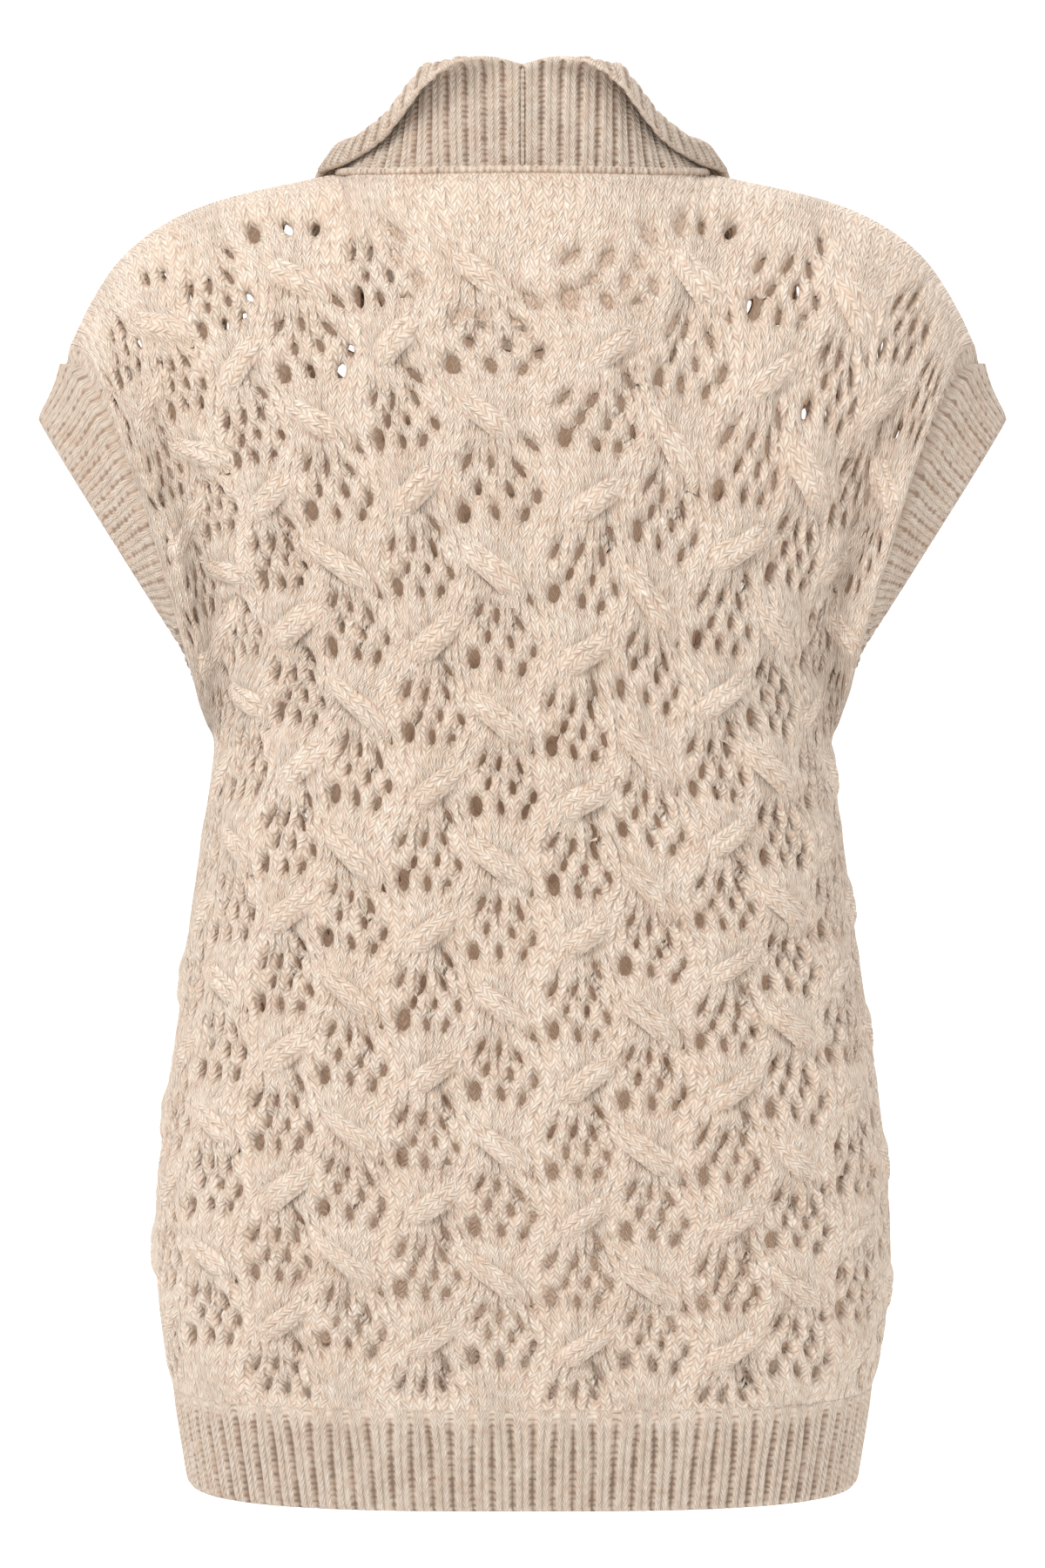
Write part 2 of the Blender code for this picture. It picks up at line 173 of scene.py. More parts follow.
def between(grid: Array, row: Array, column: Array) -> Array:
    """Reads a grid between its points, evenly along rows and columns.

    Args:
        grid: values, shape (rows, columns) or (rows, columns, kinds).
        row: places down the grid.
        column: places across the grid.

    Returns:
        Values at those places.
    """
    i = np.clip(np.floor(row).astype(int), 0, grid.shape[0] - 2)
    j = np.clip(np.floor(column).astype(int), 0, grid.shape[1] - 2)
    s, t = row - i, column - j
    if grid.ndim == 3:
        s, t = s[..., None], t[..., None]
    upper = grid[i, j] * (1 - t) + grid[i, j + 1] * t
    lower = grid[i + 1, j] * (1 - t) + grid[i + 1, j + 1] * t
    return upper * (1 - s) + lower * s


def turning(x: Array) -> Array:
    """0 in the middle of a panel's chart, 1 where the panel has turned its sides."""
    return ease(120.0, 190.0, np.abs(x))


def faces_of(at: Array) -> Array:
    """Corners of the faces between the points of a grid, from the points' indices."""
    corners = at[..., :-1, :-1], at[..., 1:, :-1], at[..., 1:, 1:], at[..., :-1, 1:]
    return np.stack(corners, axis=-1)


def normals_of(points: Array, away: int) -> Array:
    """Outward directions of a grid of points. away is -1 for a back, 1 for a front."""
    down = np.gradient(points, axis=0)
    across = np.gradient(points, axis=1)
    return unit(np.cross(down, across) * -away)


@dataclass
class Form:
    """A smooth surface through a grid of points, with the directions of its wall.

    The surface is read down its rows first and then across, each as smooth curves.
    """

    across: Array
    down: Array
    points: Array
    walls: Array

    def read(self, down: Array, across: Array) -> tuple[Array, Array]:
        """Reads the surface.

        Args:
            down: places of the rows, shape (rows,).
            across: places along each row, shape (rows, columns).

        Returns:
            Points and wall directions, each of shape (rows, columns, 3).
        """
        both = np.concatenate([self.points, self.walls], axis=2)
        flat = np.column_stack([self.down, both.reshape(len(self.down), -1)])
        rows = smooth_read(flat, down).reshape(len(down), len(self.across), 6)
        found = read_rows(self.across, rows, across)
        return found[..., :3], unit(found[..., 3:])


# ---- the garment's form
@dataclass(frozen=True)
class BodyShape:
    """Shape of the two panels and the hem: the sizes that the CAD source has.

    Half a neckline and a shoulder line make the top edge. Below the armholes the body
    is a stack of squared ovals. Between them each column of stitches is a cubic curve.
    """

    underarm_z: float = -282.0
    rib_top_z: float = -592.0
    hem_z: float = -640.0
    shoulder_half: float = 223.0
    neck_half: float = 90.0
    curve_steps: int = 120
    neck_columns: int = 8
    shoulder_columns: int = 10
    yoke_rows: int = 10
    body_rows: int = 10
    shoulder_line: Table = (  # across, height
        (90.0, 0.0),
        (122.0, -6.0),
        (150.0, -13.0),
        (176.0, -24.0),
        (200.5, -44.0),
        (216.5, -70.0),
        (223.0, -84.0),
    )
    neck_back: Table = (  # across, depth, height
        (0.0, -68.0, -8.0),
        (35.0, -65.0, -8.0),
        (62.0, -54.0, -7.0),
        (82.0, -33.0, -4.0),
        (90.0, 0.0, 0.0),
    )
    neck_front: Table = (
        (0.0, 93.0, -78.0),
        (38.0, 87.0, -67.0),
        (67.0, 70.0, -46.0),
        (86.0, 42.0, -20.0),
        (90.0, 0.0, 0.0),
    )
    # height, half width, depth of the back and of the front, squareness
    sections: Table = (
        (-282.0, 150.5, 108.0, 124.0, 2.6),
        (-320.0, 155.0, 107.0, 125.0, 2.7),
        (-370.0, 162.3, 108.0, 123.0, 2.8),
        (-415.0, 168.4, 112.0, 121.0, 2.9),
        (-460.0, 174.2, 117.0, 121.0, 3.0),
        (-520.0, 179.2, 121.0, 122.0, 3.1),
        (-556.0, 177.0, 121.0, 121.0, 3.1),
        (-592.0, 171.0, 118.0, 118.0, 3.1),
        (-640.0, 163.5, 114.0, 114.0, 3.0),
    )
    # place across, then a column's first arm: sideways, to what depth, down
    back_leaves: Table = (
        (0.0, 0.0, 97.0, 34.0),
        (0.27, 0.0, 99.0, 12.0),
        (0.5, 2.0, 98.0, 6.0),
        (0.8, 14.0, 92.0, 8.0),
        (1.0, 29.0, 85.0, 6.0),
    )
    front_leaves: Table = (
        (0.0, 0.0, 110.0, 46.0),
        (0.27, 0.0, 104.0, 14.0),
        (0.5, 2.0, 101.0, 6.0),
        (0.8, 14.0, 93.0, 8.0),
        (1.0, 29.0, 85.0, 6.0),
    )
    # side, place across, place down, half width, half length, height
    back_folds: Table = (
        (1.0, 0.88, 0.62, 0.045, 0.30, 7.0),
        (-1.0, 0.86, 0.66, 0.040, 0.24, 3.5),
    )
    front_folds: Table = (
        (1.0, 0.86, 0.60, 0.045, 0.28, 4.0),
        (-1.0, 0.87, 0.64, 0.045, 0.26, 5.0),
    )
    body_arm: float = 66.0  # a column's second arm, on the section below
    underarm_arm: Triple = (6.5, 85.0, 24.0)
    arm_blend: float = 0.72  # from here its second arm turns round the armhole
    tangent_step: float = 10.0
    fold_end: float = 0.93  # the folds fade from here to the side edge
    evened: Pair = (0.75, 0.55)  # where the yoke's depth is evened
    evenings: int = 6
    neck_lift: Triple = (0.5, 0.3, 45.0)  # wall's lift, more at the sides, how wide

    @property
    def neck_share(self) -> float:
        """Where the shoulder point lies across half a panel."""
        return 2 / np.pi * float(np.arcsin(self.neck_half / self.shoulder_half))

    def columns(self) -> Array:
        """Places across a panel from -1 to 1, with one on each shoulder point.

        Returns:
            Places, the middle one 0.
        """
        neck = np.linspace(0, self.neck_share, self.neck_columns + 1)
        shoulder = np.linspace(self.neck_share, 1, self.shoulder_columns + 1)[1:]
        half = np.concatenate([neck, shoulder])
        return np.concatenate([-half[:0:-1], half])

    def neck_path(self, half_neck: Table, share: Array) -> Array:
        """Half a neckline as a smooth curve, read at shares of its length.

        Args:
            half_neck: its stations.
            share: shares of its length.

        Returns:
            Points, shape (places, 3).
        """
        pts = np.asarray(half_neck, dtype=float)
        run = run_of(pts)
        table = np.column_stack([run / run[-1], pts])
        return along(smooth_read(table, np.linspace(0, 1, self.curve_steps + 1)), share)

    def top_edge(self, u: Array, face: Face) -> Array:
        """The neckline and the shoulder seams of a panel at places across it.

        Args:
            u: places across the panel.
            face: which panel.

        Returns:
            Points, shape (places, 3).
        """
        size = np.abs(u)
        x = self.shoulder_half * np.sin(np.pi / 2 * size)
        z = smooth_read(self.shoulder_line, x)[:, 0]
        shoulder = np.stack([x, np.zeros_like(x), z], axis=-1)
        half_neck = self.neck_back if face is Face.BACK else self.neck_front
        fine = np.linspace(0, 1, self.curve_steps + 1)
        by_length = np.clip(size / self.neck_share, 0, 1)
        by_width = np.interp(x, self.neck_path(half_neck, fine)[:, 0], fine)
        share = 0.5 if face is Face.BACK else 0.85
        neck = self.neck_path(half_neck, by_length * share + by_width * (1 - share))
        points = np.where((size < self.neck_share - TINY)[:, None], neck, shoulder)
        points[:, 0] *= np.sign(u)
        return points

    def half_ring(self, z: float, face: Face) -> Array:
        """Half a level section from the middle to the side, as a squared oval.

        Args:
            z: the section's height.
            face: which panel.

        Returns:
            Points, shape (steps, 3).
        """
        half_width, back, front, power = smooth_read(self.sections, z)[0]
        depth = back if face is Face.BACK else front
        a = np.linspace(0, np.pi / 2, self.curve_steps + 1)
        x = half_width * np.sin(a) ** (2 / power)
        y = depth * face.value * np.cos(a) ** (2 / power)
        return np.stack([x, y, np.full_like(x, z)], axis=-1)

    def half_length(self, z: float, face: Face) -> float:
        """Length of half a level section."""
        return float(run_of(self.half_ring(z, face))[-1])

    def ring(self, u: Array, z: float, face: Face) -> Array:
        """One level section of the body, at places across a panel."""
        points = along(self.half_ring(z, face), np.abs(u))
        points[:, 0] *= np.sign(u)
        return points

    def fold_height(self, u: Array, v: Array, face: Face) -> Array:
        """How far the soft folds stand out: humps that fade at the side edge.

        Args:
            u: places across the panel.
            v: places down it.
            face: which panel.

        Returns:
            Heights, as u and v broadcast.
        """
        out = np.zeros(np.broadcast(u, v).shape)
        folds = self.back_folds if face is Face.BACK else self.front_folds
        for side, across, down, half_width, half_length, height in folds:
            hump = height * bell(side * u - across, half_width)
            out = out + hump * bell(v - down, half_length)
        return out * ease(1.0, self.fold_end, np.abs(u))

    def without_creases(self, yoke: Array, u: Array) -> Array:
        """Evens out the depth of the yoke below the shoulder points.

        Args:
            yoke: its points, changed in place.
            u: places across the panel.

        Returns:
            The same points.
        """
        middle = ease(*self.evened, np.abs(u))
        down = ease(0, 2, np.arange(len(yoke)))[:, None]
        for _ in range(self.evenings):
            evened = (yoke[:, :-2, 1] + 2 * yoke[:, 1:-1, 1] + yoke[:, 2:, 1]) / 4
            share = (down * middle)[:, 1:-1]
            yoke[:, 1:-1, 1] = yoke[:, 1:-1, 1] * (1 - share) + evened * share
        return yoke

    def panel_points(self, face: Face) -> Array:
        """A grid on a panel's outer face: rows from the shoulders to the rib.

        Each column of the yoke is a cubic curve from the top edge to the underarm
        section. Its first arm leaves the edge outward and its second stands on the
        section below. The rows below the armholes are level sections.

        Args:
            face: which panel.

        Returns:
            Points, shape (rows, columns, 3).
        """
        u, away = self.columns(), face.value
        top = self.top_edge(u, face)
        under = self.ring(u, self.underarm_z, face)
        below = self.ring(u, self.underarm_z - self.tangent_step, face)
        table = self.back_leaves if face is Face.BACK else self.front_leaves
        leaves = smooth_read(table, np.abs(u))
        first = top + np.stack([-np.sign(u) * leaves[:, 0], 0 * u, -leaves[:, 2]], -1)
        first[:, 1] = away * leaves[:, 1]
        outward, backward, up = self.underarm_arm
        round_arm = np.stack(
            [np.sign(u) * outward, np.full_like(u, away * backward), 0 * u + up], -1
        )
        tells = ease(self.arm_blend, 1.0, np.abs(u))[:, None]
        second = unit(under - below) * self.body_arm * (1 - tells) + round_arm * tells
        t = np.linspace(0, 1, self.yoke_rows + 1)[:, None, None]
        yoke = (
            top * (1 - t) ** 3
            + first * 3 * t * (1 - t) ** 2
            + (under + second) * 3 * t * t * (1 - t)
            + under * t**3
        )
        yoke = self.without_creases(yoke, u)
        levels = np.linspace(self.underarm_z, self.rib_top_z, self.body_rows + 1)[1:]
        body = np.stack([self.ring(u, z, face) for z in levels])
        points = np.concatenate([yoke, body])
        raised = self.fold_height(u[None, :], self.rows()[:, None], face)
        points = points + raised[..., None] * normals_of(points, away)
        points[..., 1] += away * SEAM / 2
        return points

    def rows(self) -> Array:
        """Places down a panel: 0 at the shoulders, 1 at the underarm, 2 at the rib."""
        yoke = np.linspace(0, 1, self.yoke_rows + 1)
        body = 1 + np.arange(1, self.body_rows + 1) / self.body_rows
        return np.concatenate([yoke, body])

    def neck_wall(self, points: Array) -> Array:
        """The direction in which panel and collar both end along the neckline.

        Args:
            points: points of the neckline.

        Returns:
            Directions of length one.
        """
        least, more, width = self.neck_lift
        lifted = least + more * bell(points[..., 1], width)
        out = points.copy()
        out[..., 1] = np.where(np.abs(out[..., 1]) < 0.5, 0, out[..., 1])
        out[..., 2] = 0
        out = unit(out)
        out[..., 2] = lifted
        return unit(out)

    def panel_form(self, face: Face) -> Form:
        """A panel's surface, with walls that turn along its seams.

        Args:
            face: which panel.

        Returns:
            The surface.
        """
        points = self.panel_points(face)
        walls = normals_of(points, face.value)
        u = self.columns()
        edge = np.gradient(points[0], axis=0)
        level = unit(np.stack([-edge[:, 2], 0 * edge[:, 2], edge[:, 0]], axis=-1))
        at_neck = np.abs(u) < self.neck_share + TINY
        walls[0] = np.where(at_neck[:, None], self.neck_wall(points[0]), level)
        sides = walls[:, (0, -1)]
        for _ in range(4):
            sides[1:-1] = unit(sides[:-2] + 2 * sides[1:-1] + sides[2:])
        sides[self.yoke_rows :, :, 1] = 0
        walls[:, (0, -1)] = unit(sides)
        walls[-1, :, 2] = 0
        walls[-1] = unit(walls[-1])
        return Form(u, self.rows(), points, walls)

    def hem_form(self, face: Face) -> Form:
        """The ribbed hem's surface under a panel.

        Args:
            face: which panel.

        Returns:
            The surface.
        """
        u = self.columns()
        levels = np.linspace(self.rib_top_z - SEAM, self.hem_z, 7)
        points = np.stack([self.ring(u, z, face) for z in levels])
        points[..., 1] += face.value * SEAM / 2
        walls = normals_of(points, face.value)
        walls[:, (0, -1), 1] = 0
        walls[..., 2] = 0
        return Form(u, np.linspace(0, 1, len(levels)), points, unit(walls))


@dataclass(frozen=True)
class ArmbandShape:
    """Shape of the armbands: a cone from the armhole seam to a flat oval opening."""

    top: Pair = (236.0, -122.0)
    bottom: Pair = (149.0, -255.0)
    half_depth: float = 50.0
    bulge: float = 2.5
    rings: int = 8
    turned_by: float = 0.4  # where its wall has left the panel's
    overlap: int = 3  # columns kept beyond both ends of the ring

    def opening(self, side: Side, share: Array, steps: int) -> Array:
        """Points round the free edge, from its top by way of the back.

        Args:
            side: which band.
            share: shares of the way round.
            steps: how finely half the oval is drawn.

        Returns:
            Points, shape (places, 3).
        """
        angle = 2 * np.pi * np.linspace(0, 1, 2 * steps + 1)
        top, bottom = np.array(self.top), np.array(self.bottom)
        middle, reach = (top + bottom) / 2, (top - bottom) / 2
        x = (middle[0] + reach[0] * np.cos(angle)) * side.value
        z = middle[1] + reach[1] * np.cos(angle)
        ring = np.stack([x, -self.half_depth * np.sin(angle), z], axis=-1)
        return along(ring, share)

    def form(self, side: Side, body: BodyShape, back: Form, front: Form) -> Form:
        """The band's surface, whose columns go round the arm and a little beyond.

        Args:
            side: which side.
            body: the garment's shape.
            back: the back panel's form.
            front: the front panel's form.

        Returns:
            The surface.
        """
        column = -1 if side is Side.RIGHT else 0
        rows = body.yoke_rows
        loop, walls = (
            np.concatenate([b[: rows + 1, column], f[rows:0:-1, column], b[:1, column]])
            for b, f in ((back.points, front.points), (back.walls, front.walls))
        )
        loop[rows, 1] = loop[0, 1] = loop[-1, 1] = 0
        run = run_of(loop)
        share = run / run[-1]
        opening = self.opening(side, share, body.curve_steps)
        wrapped = np.concatenate([loop[-2:-1], loop, loop[1:2]])
        tangent = np.gradient(wrapped, axis=0)[1:-1]
        clear = unit(np.cross(walls, tangent)) * side.value
        start = loop + clear * SEAM
        t = np.linspace(0, 1, self.rings)[:, None, None]
        flat = unit(np.cross(opening - start, tangent)) * side.value
        points = start * (1 - t) + opening * t + flat * self.bulge * np.sin(np.pi * t)
        blend = ease(0, self.turned_by, t)
        turned = unit(walls * (1 - blend) + flat * blend)
        low, high = slice(-1 - self.overlap, -1), slice(1, 1 + self.overlap)
        pad = (
            np.concatenate([g[:, low], g, g[:, high]], axis=1) for g in (points, turned)
        )
        spread = np.concatenate([share[low] - 1, share, share[high] + 1])
        return Form(spread, t[:, 0, 0], *pad)


@dataclass(frozen=True)
class CollarShape:
    """Shape of the collar: it stands up, rolls over outward and ends in a leaf.

    Stations from the middle of the back to the middle of the front hold the way round,
    the stand, its lean, the leaf, the final lean and the forward sweep of the leaf.
    """

    stations: Table = (
        (0.00, 46.0, 8.0, 3.0, 30.0, 0.0),
        (0.08, 48.0, 6.0, 6.0, 70.0, 0.0),
        (0.16, 50.0, 6.0, 12.0, 130.0, 0.0),
        (0.22, 46.0, -3.0, 15.0, 156.0, 0.0),
        (0.28, 34.0, -13.0, 15.0, 160.0, 2.0),
        (0.36, 24.0, -25.0, 15.0, 156.0, 6.0),
        (0.43, 17.0, -30.0, 15.0, 148.0, 10.0),
        (0.50, 14.0, -24.0, 17.0, 140.0, 14.0),
        (0.58, 13.0, -10.0, 28.0, 136.0, 16.0),
        (0.70, 13.0, 6.0, 38.0, 142.0, 8.0),
        (0.85, 17.0, 14.0, 42.0, 150.0, 2.0),
        (1.00, 18.0, 14.0, 43.0, 153.0, 0.0),
    )
    roll: float = 10.0
    steps: int = 120
    kept_rows: int = 41
    tip: Pair = (0.45, 0.45)  # it tips forward from here, so much
    wall_rows: int = 5  # in which its wall turns away from the panel's

    def seam(self, body: BodyShape, back: Form, front: Form) -> tuple[Array, Array]:
        """The neckline from the middle of the back to the middle of the front.

        Args:
            body: the garment's shape.
            back: the back panel's form.
            front: the front panel's form.

        Returns:
            Points and wall directions.
        """
        middle = body.neck_columns + body.shoulder_columns
        stop = middle + body.neck_columns
        return tuple(
            np.concatenate([b[0, middle : stop + 1], f[0, middle:stop][::-1]])
            for b, f in ((back.points, front.points), (back.walls, front.walls))
        )

    def form(self, side: Side, body: BodyShape, back: Form, front: Form) -> Form:
        """Half of the collar. A column walks up its stand, round the roll and down.

        Args:
            side: which side.
            body: the garment's shape.
            back: the back panel's form.
            front: the front panel's form.

        Returns:
            The surface.
        """
        seam, seam_walls = self.seam(body, back, front)
        way = np.linspace(0, 1, len(seam))
        smooth = seam.copy()
        for _ in range(2):
            smooth[1:-1] = (smooth[:-2] + 2 * smooth[1:-1] + smooth[2:]) / 4
        tangent = unit(np.gradient(smooth, axis=0))
        tip = ease(self.tip[0], 1.0, way) * self.tip[1]
        up = unit(np.stack([0 * tip, tip, np.ones_like(tip)], axis=-1))
        out = np.cross(tangent, up)
        out[(0, -1), 0] = 0
        out = unit(out)
        stand, lean, leaf, final, sweep = smooth_read(self.stations, way).T
        length = stand + leaf
        run = np.linspace(0, 1, self.steps + 1)[:, None] * length
        turned = ease(stand - self.roll / 2, stand + self.roll / 2, run)
        angle = np.radians(lean + (final - lean) * turned)
        step = length / self.steps
        walk_out = np.cumsum(np.sin(angle) * step, axis=0) - np.sin(angle[0]) * step
        walk_up = np.cumsum(np.cos(angle) * step, axis=0) - np.cos(angle[0]) * step
        points = seam + walk_out[..., None] * out + walk_up[..., None] * up
        points[..., 1] += sweep * np.clip((run - stand) / leaf, 0, 1)
        keep = np.linspace(0, self.steps, self.kept_rows).round().astype(int)
        points = points[keep]
        walls = unit(np.cross(np.gradient(points, axis=1), np.gradient(points, axis=0)))
        walls[:, (0, -1), 0] = 0
        share = ease(0, self.wall_rows, np.arange(len(keep)))[:, None, None]
        walls = unit(seam_walls * (1 - share) + unit(walls) * share)
        lift = unit(np.cross(seam_walls, np.gradient(seam, axis=0)))
        lift *= np.sign(lift[:, 2:])
        lift[(0, -1), 0] = 0
        points[0] += lift * SEAM
        points[..., 0] += SEAM / 2
        mirror = np.array([side.value, 1, 1])
        down = np.linspace(0, 1, len(keep))
        return Form(way, down, points * mirror, walls * mirror)


# ---- meshes
@dataclass
class Mesh:
    """Corners, places and chart places of one piece before it is made."""

    points: Array
    quads: Array
    chart: Array
    painted_shade: Array  # painted shade at each point, 0 to 1, most where it is sunken
    open: Array | None = None  # how far its wales stand apart, 0 to 1: they sink in the bump and get painted shade between them

    def volume(self) -> float:
        """Signed volume in cubic centimetres, above zero where faces point outward."""
        a, b, c, d = (self.points[self.quads[:, k]] for k in range(4))
        whole = np.sum(np.cross(b - a, c - a) * a) + np.sum(np.cross(c - a, d - a) * a)
        return float(whole / 6 / 1000)

    def make(self, name: str, finish: Material) -> Thing:
        """Puts the piece into the scene, smooth, with its chart and its painted shade.

        Args:
            name: the piece's name.
            finish: its material.

        Returns:
            The new object, at the origin.
        """
        mesh = bpy.data.meshes.new(name)
        mesh.vertices.add(len(self.points))
        mesh.vertices.foreach_set("co", (self.points * MM).astype(np.float32).ravel())
        mesh.loops.add(self.quads.size)
        mesh.loops.foreach_set("vertex_index", self.quads.astype(np.int32).ravel())
        mesh.polygons.add(len(self.quads))
        starts = np.arange(0, self.quads.size, 4, dtype=np.int32)
        mesh.polygons.foreach_set("loop_start", starts)
        mesh.update(calc_edges=True)
        layer = mesh.uv_layers.new(name="chart")
        layer.data.foreach_set("uv", self.chart.astype(np.float32).ravel())
        for key, values in (("painted_shade", self.painted_shade), ("open", self.open)):
            if values is not None:
                layer = mesh.attributes.new(key, "FLOAT", "POINT")
                layer.data.foreach_set("value", values.astype(np.float32).ravel())
        mesh.materials.append(finish)
        mesh.validate()
        mesh.shade_smooth()
        log.info("%s: %d triangles", name, 2 * len(self.quads))
        return put_in(name, mesh)


def join(parts: list[Mesh]) -> Mesh:
    """Several meshes as one.

    Args:
        parts: the meshes.

    Returns:
        One mesh.
    """
    starts = np.cumsum([0] + [len(p.points) for p in parts[:-1]])
    return Mesh(
        np.concatenate([p.points for p in parts]),
        np.concatenate([p.quads + s for p, s in zip(parts, starts)]),
        np.concatenate([p.chart for p in parts]),
        np.concatenate([p.painted_shade for p in parts]),
    )


def patches(points: Array, chart: Array, painted_shade: Array, flip: bool) -> Mesh:
    """Many separate open grids as one mesh.

    Args:
        points: shape (patches, rows, columns, 3).
        chart: chart places, shape (patches, rows, columns, 2).
        painted_shade: shape (patches, rows, columns).
        flip: turns the faces over.

    Returns:
        The mesh.
    """
    count, rows, columns = points.shape[:3]
    at = np.arange(count * rows * columns).reshape(count, rows, columns)
    quads = faces_of(at).reshape(-1, 4)[:, :: -1 if flip else 1]
    flat_chart = chart.reshape(-1, 2)
    return Mesh(points.reshape(-1, 3), quads, flat_chart[quads], painted_shade.reshape(-1))


def shell(outer: Array, inner: Array, chart: Array, painted_shade: Array, flip: bool) -> Mesh:
    """A closed wall between an outer and an inner grid.

    A grid whose last column lies on its first is joined there into a ring.

    Args:
        outer: outer points, shape (rows, columns, 3).
        inner: inner points, the same shape.
        chart: chart places, shape (rows, columns, 2).
        painted_shade: shape (rows, columns).
        flip: turns the faces over.

    Returns:
        The mesh, all four-cornered faces.
    """
    rows, columns = outer.shape[:2]
    ring = bool(np.abs(outer[:, 0] - outer[:, -1]).max() < 1e-6)
    width = columns - 1 if ring else columns
    at = np.arange(rows)[:, None] * width + np.arange(columns)[None, :] % width
    step = rows * width
    m = np.arange(rows * columns).reshape(rows, columns)
    quads, marks = [], []

    def add(a: Array, b: Array, c: Array, d: Array) -> None:
        """Keeps faces by (place, side) pairs, side 0 outer and 1 inner."""
        pick = [(at.reshape(-1)[k] + side * step, k) for k, side in (a, b, c, d)]
        quads.append(np.stack([p[0].reshape(-1) for p in pick], axis=-1))
        marks.append(np.stack([p[1].reshape(-1) for p in pick], axis=-1))

    add((m[:-1, :-1], 0), (m[1:, :-1], 0), (m[1:, 1:], 0), (m[:-1, 1:], 0))
    add((m[:-1, 1:], 1), (m[1:, 1:], 1), (m[1:, :-1], 1), (m[:-1, :-1], 1))
    add((m[0, 1:], 0), (m[0, 1:], 1), (m[0, :-1], 1), (m[0, :-1], 0))
    add((m[-1, :-1], 0), (m[-1, :-1], 1), (m[-1, 1:], 1), (m[-1, 1:], 0))
    if not ring:
        add((m[:-1, 0], 0), (m[:-1, 0], 1), (m[1:, 0], 1), (m[1:, 0], 0))
        add((m[1:, -1], 0), (m[1:, -1], 1), (m[:-1, -1], 1), (m[:-1, -1], 0))
    faces, places = np.concatenate(quads), np.concatenate(marks)
    if flip:
        faces, places = faces[:, ::-1], places[:, ::-1]
    points = np.concatenate([g[:, :width].reshape(-1, 3) for g in (outer, inner)])
    # the inner points take the same painted shade as the outer ones
    deep = np.concatenate([painted_shade[:, :width].reshape(-1)] * 2)
    return Mesh(points, faces, chart.reshape(-1, 2)[places], deep)


def put_in(name: str, data: bpy.types.ID) -> Thing:
    """Puts a mesh, light or camera into the scene as an object at the origin."""
    thing = bpy.data.objects.new(name, data)
    bpy.context.collection.objects.link(thing)
    return thing


def new_material(name: str) -> tuple[Material, bpy.types.Node]:
    """A new material and its shader."""
    material = bpy.data.materials.new(name)
    material.use_nodes = True
    return material, material.node_tree.nodes["Principled BSDF"]


def settle(node: bpy.types.Node, **values: object) -> None:
    """Sets inputs of a node, whose names have an underscore for each space."""
    for key, value in values.items():
        node.inputs[key.replace("_", " ")].default_value = value


def dress(piece: Thing, slot: str, *nodes: str) -> None:
    """States what a piece rides on and hides the nodes it replaces."""
    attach(piece, "root")
    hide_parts(*nodes)


# ---- finishes
@dataclass
class Nodes:
    """Short ways to add shader nodes to one material."""

    tree: bpy.types.NodeTree

    def add(self, kind: str, **settings: object) -> bpy.types.Node:
        """A new node with its settings."""
        node = self.tree.nodes.new(kind)
        for key, value in settings.items():
            setattr(node, key, value)
        return node

    def put(self, socket: bpy.types.NodeSocket, value: object) -> None:
        """Links a socket, or sets its value."""
        if isinstance(value, bpy.types.NodeSocket):
            self.tree.links.new(value, socket)
        else:
            socket.default_value = value

    def math(self, kind: str, *values: object, clamp: bool = False) -> object:
        """One step of arithmetic."""
        node = self.add("ShaderNodeMath", operation=kind, use_clamp=clamp)
        for k, value in enumerate(values):
            self.put(node.inputs[k], value)
        return node.outputs[0]

    def line(self, value: object, times: object, plus: object) -> object:
        """A value times a number, plus another."""
        return self.math("MULTIPLY_ADD", value, times, plus)

    def split(self, vector: object) -> tuple[object, object]:
        """The first two parts of a vector."""
        node = self.add("ShaderNodeSeparateXYZ")
        self.put(node.inputs[0], vector)
        return node.outputs[0], node.outputs[1]

    def noise(self, where: object, scale: float, detail: float = 2.0) -> object:
        """Soft noise around a half.

        Args:
            where: the place.
            scale: how fine it is.
            detail: its finer layers.

        Returns:
            The noise.
        """
        node = self.add("ShaderNodeTexNoise")
        self.put(node.inputs["Vector"], where)
        settle(node, Scale=scale, Detail=detail)
        return node.outputs["Fac"]

    def named(self, attribute: str) -> object:
        """A number that the mesh holds for each point."""
        return self.add("ShaderNodeAttribute", attribute_name=attribute).outputs["Fac"]

    def ramp(self, at: object, stops: Table) -> object:
        """Colours along a value, eased. A stop is a place and a colour.

        Args:
            at: the value.
            stops: the stops.

        Returns:
            The colour.
        """
        node = self.add("ShaderNodeValToRGB")
        node.color_ramp.interpolation = "EASE"
        points = node.color_ramp.elements
        while len(points) < len(stops):
            points.new(0.5)
        for point, (place, red, green, blue) in zip(points, stops):
            point.position, point.color = place, (red, green, blue, 1.0)
        self.put(node.inputs["Fac"], at)
        return node.outputs["Color"]

    def mix(self, share: object, low: object, high: object) -> object:
        """Mixes two colours."""
        node = self.add("ShaderNodeMix", data_type="RGBA", blend_type="MIX")
        for socket, value in zip((0, 6, 7), (share, low, high)):
            self.put(node.inputs[socket], value)
        return node.outputs[2]

    def range(self, value: object, low: float, high: float) -> object:
        """0 below low, 1 above high and a soft step between."""
        node = self.add("ShaderNodeMapRange", interpolation_type="SMOOTHSTEP")
        self.put(node.inputs[0], value)
        node.inputs[1].default_value, node.inputs[2].default_value = low, high
        return node.outputs[0]


